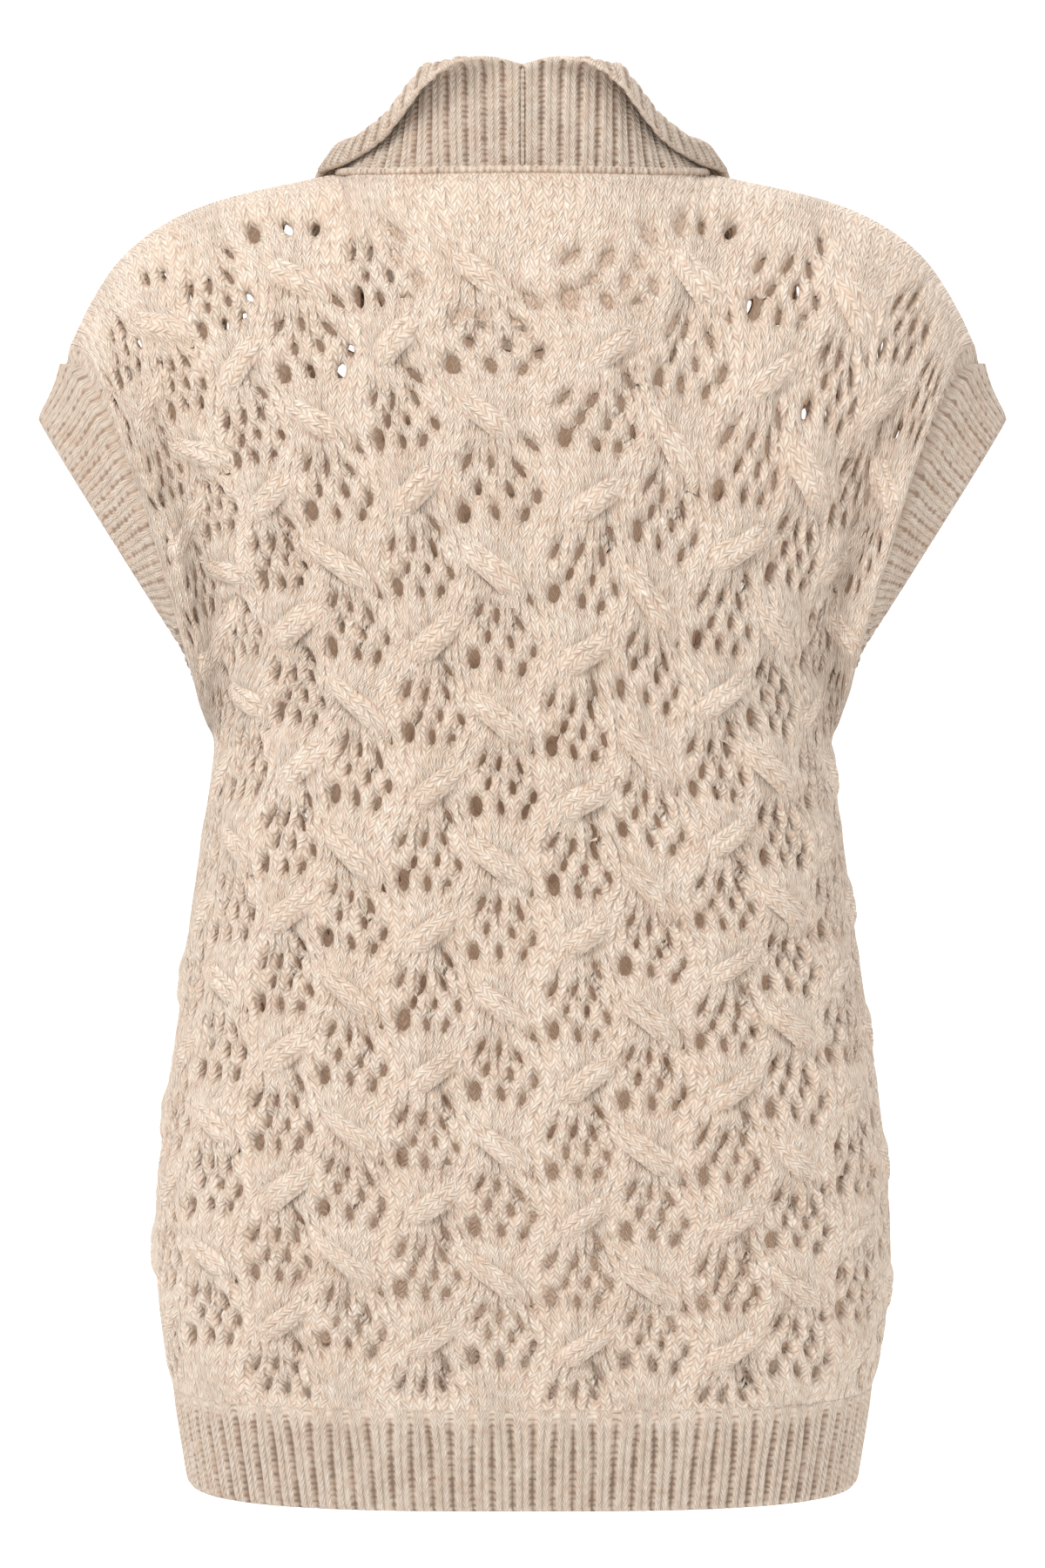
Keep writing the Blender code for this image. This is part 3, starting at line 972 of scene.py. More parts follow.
@dataclass(frozen=True)
class Wool:
    """Soft heather wool, knitted in rows of V stitches charted one to a unit.

    ribbed has every third wale lie low and show its purl side as dots. A wool can give
    off painted light, a warm shine that stands in for the light that comes through the
    cloth to a face inside it. The dark between the stitches, between open wales and in
    sunken places is painted shade, mixed towards the shadow colour. The scales are
    those of noise, and a pair is a number that noise or chance is multiplied by, and
    one added.
    """

    name: str
    ribbed: bool = False
    # strength of the painted light that an inside face gives off
    painted_glow: float = 0.0
    tone: float = 0.95
    slope: float = 0.92  # courses that a leg climbs across half its wale
    bump: float = 0.0009
    shadow: Colour = (0.32, 0.21, 0.145, 1.0)
    flecks: Table = (
        (0.30, 0.645, 0.495, 0.388),
        (0.43, 0.690, 0.555, 0.450),
        (0.56, 0.735, 0.615, 0.510),
        (0.72, 0.775, 0.675, 0.577),
    )
    stray: Triple = (0.7, 1.1, 0.0)  # stitches wander so far
    stray_scale: float = 0.45
    leg_power: float = 0.75  # below 1, a leg is plump along its length
    side_power: float = 0.7  # and across it
    leg_odds: Pair = (0.3, 0.75)
    purl_height: float = 0.5
    fleck_scale: float = 300.0
    patch_scale: float = 40.0
    patch_weight: float = 0.3
    leg_weight: float = 0.12
    gap_power: float = 2.2  # above 1, the painted shade between stitches is narrow
    gap_odds: Pair = (0.8, 0.35)
    uneven_scale: float = 210.0
    uneven: Pair = (0.40, 0.64)
    edge_from: float = 0.62  # where the painted shade between open wales starts, as a share of half a wale
    edge_odds: Pair = (0.8, 0.1)
    edge_dark: float = 0.66
    edge_deep: float = 0.8
    darkest: float = 0.85
    fibre_scale: float = 1100.0
    fibre: float = 0.12
    sheen_tint: Colour = (1.0, 0.93, 0.86, 1.0)
    # tint of the painted light
    painted_glow_colour: Colour = (1.0, 0.66, 0.44, 1.0)

    def stitches(self, n: Nodes) -> tuple[object, object, object]:
        """Works out the stitches from the chart.

        A leg of a V is the crest of a wave whose front climbs away from the middle of
        its wale. It is rounded off at the middle and at the side of the wale.

        Args:
            n: the material's nodes.

        Returns:
            Height, a number for each leg, and the place in the wale: how far out it is
            in plain knit, and whether it is purl in a rib.
        """
        chart = n.add("ShaderNodeUVMap", uv_map="chart").outputs[0]
        wander = n.add("ShaderNodeTexNoise", noise_dimensions="2D")
        n.put(wander.inputs["Vector"], chart)
        settle(wander, Scale=self.stray_scale)
        moved = n.add("ShaderNodeVectorMath", operation="MULTIPLY_ADD")
        for k, value in enumerate((wander.outputs["Color"], self.stray, chart)):
            n.put(moved.inputs[k], value)
        across, down = n.split(moved.outputs[0])
        if self.ribbed:
            across = n.math("ADD", n.split(chart)[0], 0.5)
        off = n.math("ABSOLUTE", n.line(n.math("FRACT", across), 2.0, -1.0))
        climb = n.line(off, self.slope, down)
        pick = n.add("ShaderNodeCombineXYZ")
        n.put(pick.inputs[0], n.math("FLOOR", n.math("MULTIPLY", across, 2.0)))
        n.put(pick.inputs[1], n.math("FLOOR", climb))
        chance = n.add("ShaderNodeTexWhiteNoise", noise_dimensions="2D")
        n.put(chance.inputs["Vector"], pick.outputs[0])
        own = chance.outputs["Value"]
        wave = n.math("MULTIPLY", n.math("FRACT", climb), np.pi)
        leg = n.math("POWER", n.math("SINE", wave), self.leg_power)
        width = n.line(off, np.pi * 0.90, np.pi * 0.05)
        side = n.math("POWER", n.math("SINE", width), self.side_power)
        height = n.math("MULTIPLY", leg, side)
        height = n.math("MULTIPLY", height, n.line(own, *self.leg_odds))
        if not self.ribbed:
            return height, own, off
        third = n.math("FRACT", n.math("DIVIDE", across, 3.0))
        purl = n.math("LESS_THAN", third, 1 / 3)
        dots = n.math("ABSOLUTE", n.math("SINE", n.math("MULTIPLY", down, np.pi)))
        low = n.math("MULTIPLY", dots, self.purl_height)
        knit = n.math("MULTIPLY", height, n.math("SUBTRACT", 1.0, purl))
        return n.line(low, purl, knit), own, purl

    def build(self) -> Material:
        """Makes the material.

        Returns:
            A wool whose colour varies by fleck, leg and patch, is darker between the
            stitches and in the hollows, and whose stitches and fibres are bump.
        """
        material, shader = new_material(self.name)
        n = Nodes(material.node_tree)
        height, own, other = self.stitches(n)
        place = n.add("ShaderNodeTexCoord").outputs["Object"]
        fleck = n.noise(place, self.fleck_scale, 3.0)
        patch = n.math("SUBTRACT", n.noise(place, self.patch_scale), 0.5)
        mixed = n.line(patch, self.patch_weight, fleck)
        mixed = n.line(n.math("SUBTRACT", own, 0.5), self.leg_weight, mixed)
        stops = tuple((at, *(self.tone * c for c in rgb)) for at, *rgb in self.flecks)
        colour = n.ramp(mixed, stops)
        # painted shade between the stitches, where the bump is low
        gap = n.math("SUBTRACT", 1.0, height, clamp=True)
        gap = n.math("POWER", gap, self.gap_power)
        uneven = n.range(n.noise(place, self.uneven_scale, 1.0), *self.uneven)
        gap = n.math("MULTIPLY", gap, n.line(uneven, *self.gap_odds))
        # painted shade that the mesh holds for each point, stronger on ribs
        deep = n.math("MULTIPLY", n.named("painted_shade"), 0.8 if self.ribbed else 0.55)
        dark = n.line(gap, 0.20 if self.ribbed else 0.34, deep)
        if self.ribbed:
            # more painted shade in the purl wales
            dark = n.line(n.math("MULTIPLY", other, gap), 0.5, dark)
        else:
            # painted shade between open wales, which also sink in the bump
            edge = n.range(other, self.edge_from, 1.0)
            edge = n.math("MULTIPLY", edge, n.named("open"))
            edge = n.math("MULTIPLY", edge, n.line(uneven, *self.edge_odds))
            dark = n.line(edge, self.edge_dark, dark)
            height = n.line(edge, -self.edge_deep, height)
        dark = n.math("MINIMUM", dark, self.darkest)
        # the colour is mixed towards the shadow colour by all the painted shade
        n.put(shader.inputs["Base Color"], n.mix(dark, colour, self.shadow))
        bump = n.add("ShaderNodeBump")
        settle(bump, Strength=1.0, Distance=self.bump)
        fibre = n.noise(place, self.fibre_scale)
        n.put(bump.inputs["Height"], n.line(fibre, self.fibre, height))
        n.put(shader.inputs["Normal"], bump.outputs[0])
        settle(shader, Roughness=0.9, Specular_IOR_Level=0.15)
        settle(shader, Sheen_Weight=0.25, Sheen_Roughness=0.45)
        settle(shader, Sheen_Tint=self.sheen_tint)
        # painted light: an inside face shines warm, standing in for light that comes
        # through the cloth
        if self.painted_glow:
            settle(shader, Emission_Color=self.painted_glow_colour, Emission_Strength=self.painted_glow)
        return material


# ---- the lace chart
@dataclass(frozen=True)
class Chart:
    """The cable-and-lace pattern, drawn in the plane of its chart.

    Two columns of motifs alternate across. The second starts a little less than half a
    repeat lower, and its cables cross the other way. Places are relative to a motif's
    largest hole, x to the right and y down.
    """

    wale: float = 70.5 / 16
    course: float = 3.3
    cell: float = 70.5
    repeat: float = 66.0
    first_rising: Pair = (14.2, 0.0)
    first_falling: Pair = (-22.3, 0.475 * 66.0)
    draw: Triple = (0.6, 17.0, 15.0)  # share, reach across and down
    draw_calm: float = 0.8  # less of it where the cloth turns round the sides
    # across, down, width, height, lean in degrees to the right of upright
    rising_holes: Table = (
        (0.0, 0.0, 5.3, 9.5, 0.0),
        (11.4, 1.2, 3.1, 7.1, -8.0),
        (21.1, 1.2, 3.2, 7.2, 16.0),
        (5.7, -8.9, 2.8, 6.9, 16.0),
        (15.8, -9.3, 2.8, 6.7, 0.0),
        (26.0, -7.7, 3.0, 6.7, -18.0),
        (-0.4, -19.1, 2.5, 8.6, 24.0),
        (9.7, -19.1, 2.5, 8.4, 14.0),
        (19.1, -19.1, 2.5, 8.6, -16.0),
        (21.1, -29.5, 2.5, 8.6, -28.0),
    )
    falling_holes: Table = (
        (0.0, 0.0, 5.2, 9.2, 4.0),
        (12.2, 0.4, 3.1, 7.2, -10.0),
        (23.1, 2.0, 3.1, 6.9, 14.0),
        (6.1, -11.0, 2.8, 6.9, 10.0),
        (17.1, -9.3, 3.0, 6.7, -8.0),
        (28.0, -6.1, 2.8, 6.7, 8.0),
        (2.8, -22.6, 2.5, 8.6, 24.0),
        (11.0, -21.0, 2.5, 7.6, 4.0),
        (21.1, -18.2, 2.5, 8.4, -24.0),
        (25.2, -29.5, 2.6, 9.5, -34.0),
    )
    # where a cable starts and ends, top first
    rising_cable: Row = (25.0, -64.0, 4.2, -25.5)
    falling_cable: Row = (-0.5, -61.0, 21.3, -25.0)
    # heights of the rows of largest holes at stations across, from the row above the
    # first whole one down
    stations: Row = (-198.0, -127.0, -56.0, 14.0, 84.0, 155.0)
    levels: Table = (
        (-52.0, -27.0, -5.0, -7.0, -4.0, -22.0),
        (-112.0, -87.9, -72.0, -74.3, -78.6, -98.0),
        (-168.0, -149.6, -140.5, -139.5, -163.0, -176.0),
        (-222.0, -205.6, -209.2, -213.0, -233.0, -243.0),
        (-281.0, -267.7, -277.5, -282.8, -303.0, -308.0),
        (-343.0, -337.6, -346.5, -347.7, -364.0, -368.0),
        (-406.0, -402.5, -411.4, -415.9, -420.7, -426.0),
        (-469.0, -467.4, -475.6, -481.6, -483.7, -488.0),
        (-531.0, -529.2, -536.5, -541.3, -543.0, -547.0),
        (-591.0, -590.0, -598.0, -602.0, -604.0, -606.0),
        (-652.0, -652.0, -660.0, -664.0, -666.0, -668.0),
    )

    def row_of(self, x: Array, height: Array) -> Array:
        """How far down the chart a place of the cloth is, from its height.

        Between two rows of holes the chart is stretched evenly, so the place is the
        count of rows passed plus the share of the next.

        Args:
            x: places across the chart.
            height: heights on the garment.

        Returns:
            Places down the chart.
        """
        table = np.column_stack([self.stations, np.asarray(self.levels).T])
        rows = smooth_read(table, x.reshape(-1)).reshape(*x.shape, -1)
        passed = -1.0 + (rows[..., 0] - height) / (rows[..., 0] - rows[..., 1])
        passed = np.minimum(passed, 0.0)
        for k in range(1, rows.shape[-1] - 1):
            gap = rows[..., k] - rows[..., k + 1]
            passed = passed + np.clip((rows[..., k] - height) / gap, 0, 1)
        return passed * self.repeat

    def holes(self, lean: Lean) -> Table:
        """The holes of one kind of motif."""
        return self.rising_holes if lean is Lean.RISING else self.falling_holes

    def first(self, lean: Lean) -> Pair:
        """Where the first motif of one kind has its largest hole."""
        return self.first_rising if lean is Lean.RISING else self.first_falling

    def cable(self, lean: Lean) -> Row:
        """Where one kind of cable starts and ends."""
        return self.rising_cable if lean is Lean.RISING else self.falling_cable

    def cable_middle(self, lean: Lean) -> Pair:
        """Where the first motif of one kind has the middle of its cable."""
        fx, fy = self.first(lean)
        x0, y0, x1, y1 = self.cable(lean)
        return fx + (x0 + x1) / 2, fy + (y0 + y1) / 2

    def nearest(self, x: Array, y: Array, at: Pair) -> tuple[Array, ...]:
        """The nearest of a mark that comes once in each motif.

        Args:
            x: places across the chart.
            y: places down it.
            at: the mark in the first motif.

        Returns:
            The motif's counts across and down, and the mark's place.
        """
        i = np.round((x - at[0]) / self.cell)
        j = np.round((y - at[1]) / self.repeat)
        return i, j, at[0] + i * self.cell, at[1] + j * self.repeat

    def drawn_in(self, x: Array, y: Array) -> Array:
        """How far the wales are drawn towards the cables, as a change of x.

        Args:
            x: places across the chart.
            y: places down it.

        Returns:
            Changes of x.
        """
        share, across, down = self.draw
        moved = np.zeros_like(x)
        for lean in Lean:
            _, _, cx, cy = self.nearest(x, y, self.cable_middle(lean))
            moved += share * (x - cx) * bell(x - cx, across) * bell(y - cy, down)
        return moved * (1 - self.draw_calm * turning(x))


@dataclass
class Hole:
    """The nearest hole to each place: its middle, how far out the place is as a share
    of the hole's radius, and the hole's mean radius."""

    x: Array
    y: Array
    out: Array
    size: Array

    @property
    def clear(self) -> Array:
        """Distance from the hole's edge."""
        return (self.out - 1) * self.size


@dataclass
class Laid:
    """The cloth of a panel as a grid, with its places on the chart.

    wide says how many millimetres of cloth one millimetre of chart covers across, and
    stitch where each place lies counted in stitches, wales then courses.
    """

    points: Array
    walls: Array
    x: Array
    y: Array
    stitch: Array
    wide: Array = field(init=False)

    def __post_init__(self) -> None:
        """Measures the stretch between neighbouring points."""
        across = np.linalg.norm(np.gradient(self.points, axis=1), axis=-1)
        self.wide = across / np.abs(np.gradient(self.x, axis=1))

    def locate(self, x: Array, y: Array) -> tuple[Array, Array]:
        """Finds places of the chart by walking down the grid's columns.

        Args:
            x: places across the chart.
            y: places down it.

        Returns:
            Row and column of each place, with their shares.
        """
        rows, columns = self.y.shape[0] - 1, self.y.shape[1] - 1
        reach = self.x[0, -1]
        i = np.clip((x / reach + 1) / 2, 0, 1) * columns
        j = np.full_like(i, rows / 2)
        for _ in range(25):
            here = between(self.y, j, i)
            step = between(self.y, np.minimum(j + 1, rows), i) - here
            step = np.maximum(np.abs(step), 0.4)
            j = np.clip(j + np.clip((y - here) / step, -40, 40), 0, rows)
        return j, i


# ---- panels
@dataclass(frozen=True)
class Relief:
    """How the knit of a panel stands out and dips round the marks of its chart.

    Each mark has a height in millimetres or a painted shade from 0 to 1, then the
    distances at which it lies from its middle line or hole, then those over which it
    fades.
    """

    plain: float = 1.7
    dip: Pair = (4.0, 2.5)  # round a hole
    dip_shade: Pair = (0.45, 1.1)
    cable_way: Pair = (24.5, -17.0)
    cable_run: float = 13.0
    bank: Triple = (2.8, 7.5, 5.0)  # up to a cable's upper edge
    groove: Triple = (2.0, 7.6, 2.6)  # under its lower edge
    groove_shade: Row = (0.55, 7.8, 1.4, 3.0, 8.0)
    fan: Triple = (0.9, 20.0, 17.0)  # spread wales below a cable: they sink, with painted shade between them
    wedge: Row = (1.5, 9.0, 14.0, 10.0, 9.0)  # plain, below a motif
    crease: Row = (1.1, 16.0, 1.4, 11.0)  # below the largest hole
    crease_shade: Pair = (0.34, 0.9)
    crease_slant: float = 0.04
    crease_width: float = 1.1
    waves: float = 0.9
    calm: float = 0.45  # less of it where the cloth turns round the sides
    edge: float = 9.0  # it rises to its full height this far from an edge
    edge_shade: float = 4.0


@dataclass(frozen=True)
class CableShape:
    """A raised cable, three wales wide. Shares run from its top to its end."""

    rows: int = 22
    columns: int = 13
    stray: Pair = (0.8, 1.0)
    bend: Pair = (0.16, 0.84)  # where its S-curve starts and ends
    end_half: float = 4.6
    wider: float = 2.6  # added to half its width between its ends
    taper: Pair = (0.32, 0.68)
    lift: Row = (0.02, 0.46, 0.98, 0.54)
    sunk: float = 1.2
    rise: float = 6.4
    swell: float = 0.12
    calm: float = 0.4  # lower where the cloth turns round the sides
    tuck: float = 1.6  # how much further the sides of its ends sink
    track: float = 0.5  # depth of the lines between its wales
    # painted shade along its sunken sides
    shade: float = 0.3
    # how far its wales stand apart, which also paints shade between them
    opened: float = 0.45
    out_of_step: float = 1.37  # courses by which each next cable is shifted


@dataclass
class Panel:
    """A back or front in cable-and-lace knit: outer face, inner face and cables."""

    face: Face
    body: BodyShape
    chart: Chart
    node: str
    marks: Relief = Relief()
    cable: CableShape = CableShape()
    half_wales: float = 55.1  # wales from the middle to the side edge
    eased_from: float = 110.0  # beyond here the wales share out the panel's width
    yoke_half: float = 224.0  # half the width of the yoke round its underarm
    sections: int = 21
    wale_gap: float = 0.4  # how far the wales stand apart in plain knit, which also paints shade between them
    open_front: float = 25.0  # down the chart, as far as light shows through
    closed_back: Triple = (7.0, 46.0, 12.0)  # its middle, half width and depth
    wider_front: float = 1.8  # holes through which light shows are wider
    hole_stray: Row = (0.7, 0.9, 7.0)  # across, down, degrees
    hole_odds: Pair = (0.14, 0.12)  # how much the size and the width vary
    hole_margin: Triple = (14.0, 5.0, 14.0)  # above, below, aside
    neck_margin: Pair = (20.0, 30.0)  # more above, over what half width
    cable_margin: Triple = (14.0, 14.0, 17.0)
    yoke_margin: Triple = (16.0, 300.0, 240.0)  # more aside, from where to where
    cut_wider: float = 0.32  # of a face's width, so that rims are drawn inwards
    pull: Pair = (0.45, 2.6)  # how far rims are drawn in and out at the most
    skirt: float = 2.6  # how deep a hole's rim is turned in
    # painted shade on the turned-in rims of the holes
    skirt_shade: float = 0.6
    inner_wider: float = 1.6
    inner_sunk: float = WALL - 0.6
    # painted shade on the inner face, and more where a hole has none behind it
    inner_shade: float = 0.2
    closed_shade: float = 0.7
    eye: Triple = (-301.0, 2000.0, 1890.0)  # height, distance, where heights hold
    outer_grid: tuple[int, int] = (248, 322)
    inner_grid: tuple[int, int] = (124, 200)
    flat: Pair = (0.485, 0.62)  # metres
    form: Form = field(init=False)
    top_row: Array = field(init=False)
    end_row: Array = field(init=False)

    def __post_init__(self) -> None:
        """Reads the panel's form once."""
        self.form = self.body.panel_form(self.face)

    @property
    def reach(self) -> float:
        """Half the panel's width in its chart."""
        return self.half_wales * self.chart.wale

    def across_of(self, x: Array, down: Array) -> Array:
        """Places across the form for places across the chart.

        The wales in the middle keep their width all the way down. Those at the sides
        share out what is left, so that the last one is always at the side edge.

        Args:
            x: places across the chart, shape (columns,).
            down: places down the form, shape (rows,).

        Returns:
            Places across the form, shape (rows, columns).
        """
        b = self.body
        share = np.linspace(0, 1, self.sections)
        z = b.underarm_z + share * (b.rib_top_z - b.underarm_z)
        lengths = [b.half_length(level, self.face) for level in z]
        body = np.interp(down - 1, share, lengths)
        share = ease(1.0, 1.25, down)
        half = self.yoke_half * (1 - share) + body * share
        size = np.abs(x)[None, :]
        beyond = (size - self.eased_from) / (self.reach - self.eased_from)
        beyond = np.clip(beyond, 0, 1)
        u = size / half[:, None] + (1 - self.reach / half[:, None]) * beyond**1.5
        return np.clip(u, 0, 1) * np.sign(x)[None, :]

    def rows_evenly(self, count: int) -> Array:
        """Places down the form that are evenly spaced over the cloth.

        Args:
            count: steps between them.

        Returns:
            The places.
        """
        fine = np.linspace(0, 2, 161)
        points, _ = self.form.read(fine, np.full((len(fine), 1), 0.25))
        run = run_of(points[:, 0])
        return np.interp(np.linspace(0, 1, count + 1), run / run[-1], fine)

    def heights(self, points: Array) -> Array:
        """Heights by which the chart is laid out.

        The back's are as seen from behind, by an eye at a height, at a distance from
        the middle of the garment and at one from the cloth whose heights hold.

        Args:
            points: points of the cloth.

        Returns:
            Their heights.
        """
        if self.face is Face.FRONT:
            return points[..., 2]
        level, away, near = self.eye
        return level + (points[..., 2] - level) * near / (away + points[..., 1])

    def lay(self, columns: int, rows: int) -> Laid:
        """A grid of the cloth.

        In the yoke the wales share each row evenly. In the body they keep to the chart.

        Args:
            columns: faces across.
            rows: faces down.

        Returns:
            The grid.
        """
        x = np.linspace(-self.reach, self.reach, columns + 1)
        down = self.rows_evenly(rows)
        points, walls = self.form.read(down, self.across_of(x, down))
        wide = np.broadcast_to(x, points.shape[:2]).copy()
        y = self.chart.row_of(wide, self.heights(points))
        y = np.maximum.accumulate(y + np.arange(len(y))[:, None] * 1e-4, axis=0)
        step = np.diff(points, axis=1)
        step[..., 1] *= ease(0.0, 0.5, down)[:, None]
        step = np.linalg.norm(step, axis=-1)
        run = np.concatenate([0 * step[:, :1], np.cumsum(step, axis=1)], axis=1)
        even = self.reach * (2 * run / run[:, -1:] - 1)
        share = ease(1.05, 0.7, down)[:, None]
        wales = even * share + wide * (1 - share) + self.chart.drawn_in(wide, y)
        stitch = np.stack([wales / self.chart.wale, y / self.chart.course], -1)
        return Laid(points, walls, wide, y, stitch)

    def edges(self, x: Array) -> tuple[Array, Array]:
        """Where the panel starts and ends down the chart, at places across it."""
        return np.interp(x, *self.top_row), np.interp(x, *self.end_row)

    def there(self, x: Array, y: Array, margin: tuple[float | Array, ...]) -> Array:
        """Whether a mark of the chart lies on the panel, clear of its edges.

        Args:
            x: the mark's place across the chart.
            y: its place down it.
            margin: how clear it is at the top, the end and the sides.

        Returns:
            True where it lies there.
        """
        top, end = self.edges(x)
        above, below, aside = margin
        more, low, high = self.yoke_margin
        aside = aside + more * ease(low, high, y)
        return (y > top + above) & (y < end - below) & (np.abs(x) < self.reach - aside)

    def lets_through(self, x: Array, y: Array) -> Array:
        """Where the inner face has holes too, so that light can show through.

        That is all of the back but the middle of its top, and the top of the front.

        Args:
            x: places across the chart.
            y: places down it.

        Returns:
            True where it has them.
        """
        if self.face is Face.BACK:
            middle, half_width, depth = self.closed_back
            return (np.abs(x - middle) > half_width) | (y > depth)
        return y < self.open_front

    def wider_top(self, y: Array) -> Array:
        """How much wider the holes at the top of the front are."""
        if self.face is Face.BACK:
            return 0.0 * y
        return self.wider_front * ease(self.open_front + 15, self.open_front - 10, y)

    def nearest_hole(self, x: Array, y: Array, wider: float | Array) -> Hole:
        """Finds the nearest hole to each place.

        A hole is an ellipse, moved, turned and sized a little by fixed chance.

        Args:
            x: places across the chart.
            y: places down it.
            wider: added to every hole's width and height.

        Returns:
            The holes.
        """
        above, below, aside = self.hole_margin
        more, spread = self.neck_margin
        best = np.stack([0 * x, 0 * x, np.full_like(x, FAR), np.ones_like(x)])
        best_clear = np.full_like(x, FAR)
        for lean in Lean:
            fx, fy = self.chart.first(lean)
            for count, row in enumerate(self.chart.holes(lean)):
                hx, hy, width, height, turn = row
                i, j, cx, cy = self.chart.nearest(x, y, (fx + hx, fy + hy))
                salt = count + (20.0 if lean is Lean.RISING else 50.0)
                cx = cx + self.hole_stray[0] * scatter(i, j, salt)
                cy = cy + self.hole_stray[1] * scatter(i, j, salt + 0.3)
                grown = 1 + self.hole_odds[0] * scatter(i, j, salt + 0.6)
                rounder = 1 + self.hole_odds[1] * scatter(i, j, salt + 0.7)
                wide = width / 2 * grown * rounder + wider / 2
                tall = height / 2 * grown + wider / 2
                turn = turn + self.hole_stray[2] * scatter(i, j, salt + 0.9)
                sine, cosine = np.sin(np.radians(turn)), np.cos(np.radians(turn))
                dx, dy = x - cx, y - cy
                beside, along_it = dx * cosine + dy * sine, dx * sine - dy * cosine
                out = np.hypot(beside / wide, along_it / tall)
                size = np.sqrt(wide * tall)
                margin = (above + more * bell(cx, spread), below, aside)
                there = self.there(cx, cy, margin)
                clear = np.where(there, (out - 1) * size, FAR)
                best = np.where(clear < best_clear, np.stack([cx, cy, out, size]), best)
                best_clear = np.minimum(clear, best_clear)
        return Hole(*best)

    def relief(self, x: Array, y: Array, hole: Hole, wide: Array) -> tuple[Array, ...]:
        """How far the outer face stands out, how much shade is painted on it and how
        open it looks.

        The cloth dips round each hole, stands up to the upper edge of each cable, has
        a groove under its lower edge, a plump plain wedge below each motif and a
        crease from the largest hole down to the next cable.

        Args:
            x: places across the chart.
            y: places down it.
            hole: the nearest holes.
            wide: how wide the cloth is stretched at each place.

        Returns:
            Heights, painted shade and how far the wales stand apart.
        """
        r = self.marks
        clear = np.maximum(hole.clear, 0)
        height = r.plain - r.dip[0] * bell(clear, r.dip[1])
        # painted shade round each hole; more is added in each groove and crease below
        painted_shade = r.dip_shade[0] * bell(clear, r.dip_shade[1])
        opened = np.full_like(x, self.wale_gap)
        for lean in Lean:
            fx, fy = self.chart.first(lean)
            _, _, cx, cy = self.chart.nearest(x, y, self.chart.cable_middle(lean))
            on = self.there(cx, cy, self.cable_margin)
            way = np.array(r.cable_way) * (1, lean.value)
            way /= np.hypot(*way)
            dx, dy = (x - cx) * wide, y - cy
            length = dx * way[0] + dy * way[1]
            over = dx * way[1] - dy * way[0]
            window = bell(length, r.cable_run) * on * ease(0.3, 0.8, wide)
            high, at, fade = r.bank
            height += high * bell(over - at, fade) * window
            deep, at, fade = r.groove
            height -= deep * bell(over + at, fade) * window
            shade, at, fade, start, run = r.groove_shade
            painted_shade += shade * bell(over + at, fade) * bell(length - start, run) * on
            deep, at, fade = r.fan
            fan = bell(dx, fade) * bell(dy - at, fade) * on * ease(0.4, 0.85, wide)
            opened += fan
            height -= deep * fan
            high, aside, below, across, down = r.wedge
            _, _, bx, by = self.chart.nearest(x, y, (fx + aside, fy + below))
            height += high * bell(x - bx, across) * bell(y - by, down)
            deep, below, fade, run = r.crease
            _, _, hx, hy = self.chart.nearest(x, y, (fx, fy + below))
            line = (x - hx - (y - hy) * r.crease_slant) / r.crease_width
            height -= deep * bell(line, fade) * bell(y - hy, run)
            shade, fade = r.crease_shade
            painted_shade += shade * bell(line, fade) * bell(y - hy, run)
        waves = np.sin(x / 23.0 + y / 61.0) * np.sin(y / 31.0 - x / 47.0 + 0.6)
        height += r.waves * waves
        top, end = self.edges(x)
        near = np.minimum(np.minimum(y - top, end - y), self.reach - np.abs(x))
        share = ease(0.0, r.edge, near) * (1 - r.calm * turning(x))
        painted_shade = np.clip(painted_shade, 0, 1) * ease(0.0, r.edge_shade, near)
        return height * share, painted_shade, np.clip(opened, 0, 1)

    def with_holes(self, grid: Laid, wider: float, sunk: float, outer: bool) -> Mesh:
        """A grid with its holes cut out and its rims drawn onto the holes' edges.

        Args:
            grid: the cloth.
            wider: how much wider the holes are than the chart's.
            sunk: how far inside the form the face lies.
            outer: whether this is the outer face, which has relief and turned-in rims.

        Returns:
            The mesh.
        """
        kept = (grid.points, grid.walls, grid.x, grid.y, grid.stitch)
        points, walls, x, y, stitch = (g.copy() for g in kept)
        mx, my = (
            (g[:-1, :-1] + g[1:, :-1] + g[1:, 1:] + g[:-1, 1:]) / 4 for g in (x, y)
        )
        pitch = 2 * self.reach / (x.shape[1] - 1)
        wider_cut = wider + self.wider_top(my) + self.cut_wider * pitch
        cut = self.nearest_hole(mx, my, wider_cut).out < 1
        if not outer:
            cut &= self.lets_through(mx, my)
        held = np.zeros(x.shape, dtype=bool)
        touched = np.zeros(x.shape, dtype=bool)
        for rows in (slice(0, -1), slice(1, None)):
            for columns in (slice(0, -1), slice(1, None)):
                held[rows, columns] |= ~cut
                touched[rows, columns] |= cut
        rim = held & touched
        edge = self.nearest_hole(x[rim], y[rim], wider + self.wider_top(y[rim]))
        pull = 1 / np.clip(edge.out, *self.pull)
        x[rim] = edge.x + (x[rim] - edge.x) * pull
        y[rim] = edge.y + (y[rim] - edge.y) * pull
        place = grid.locate(x[rim], y[rim])
        points[rim] = between(grid.points, *place)
        walls[rim] = unit(between(grid.walls, *place))
        stitch[rim] = between(grid.stitch, *place)
        near = self.nearest_hole(x, y, wider + self.wider_top(y))
        if outer:
            height, painted_shade, opened = self.relief(x, y, near, grid.wide)
        else:
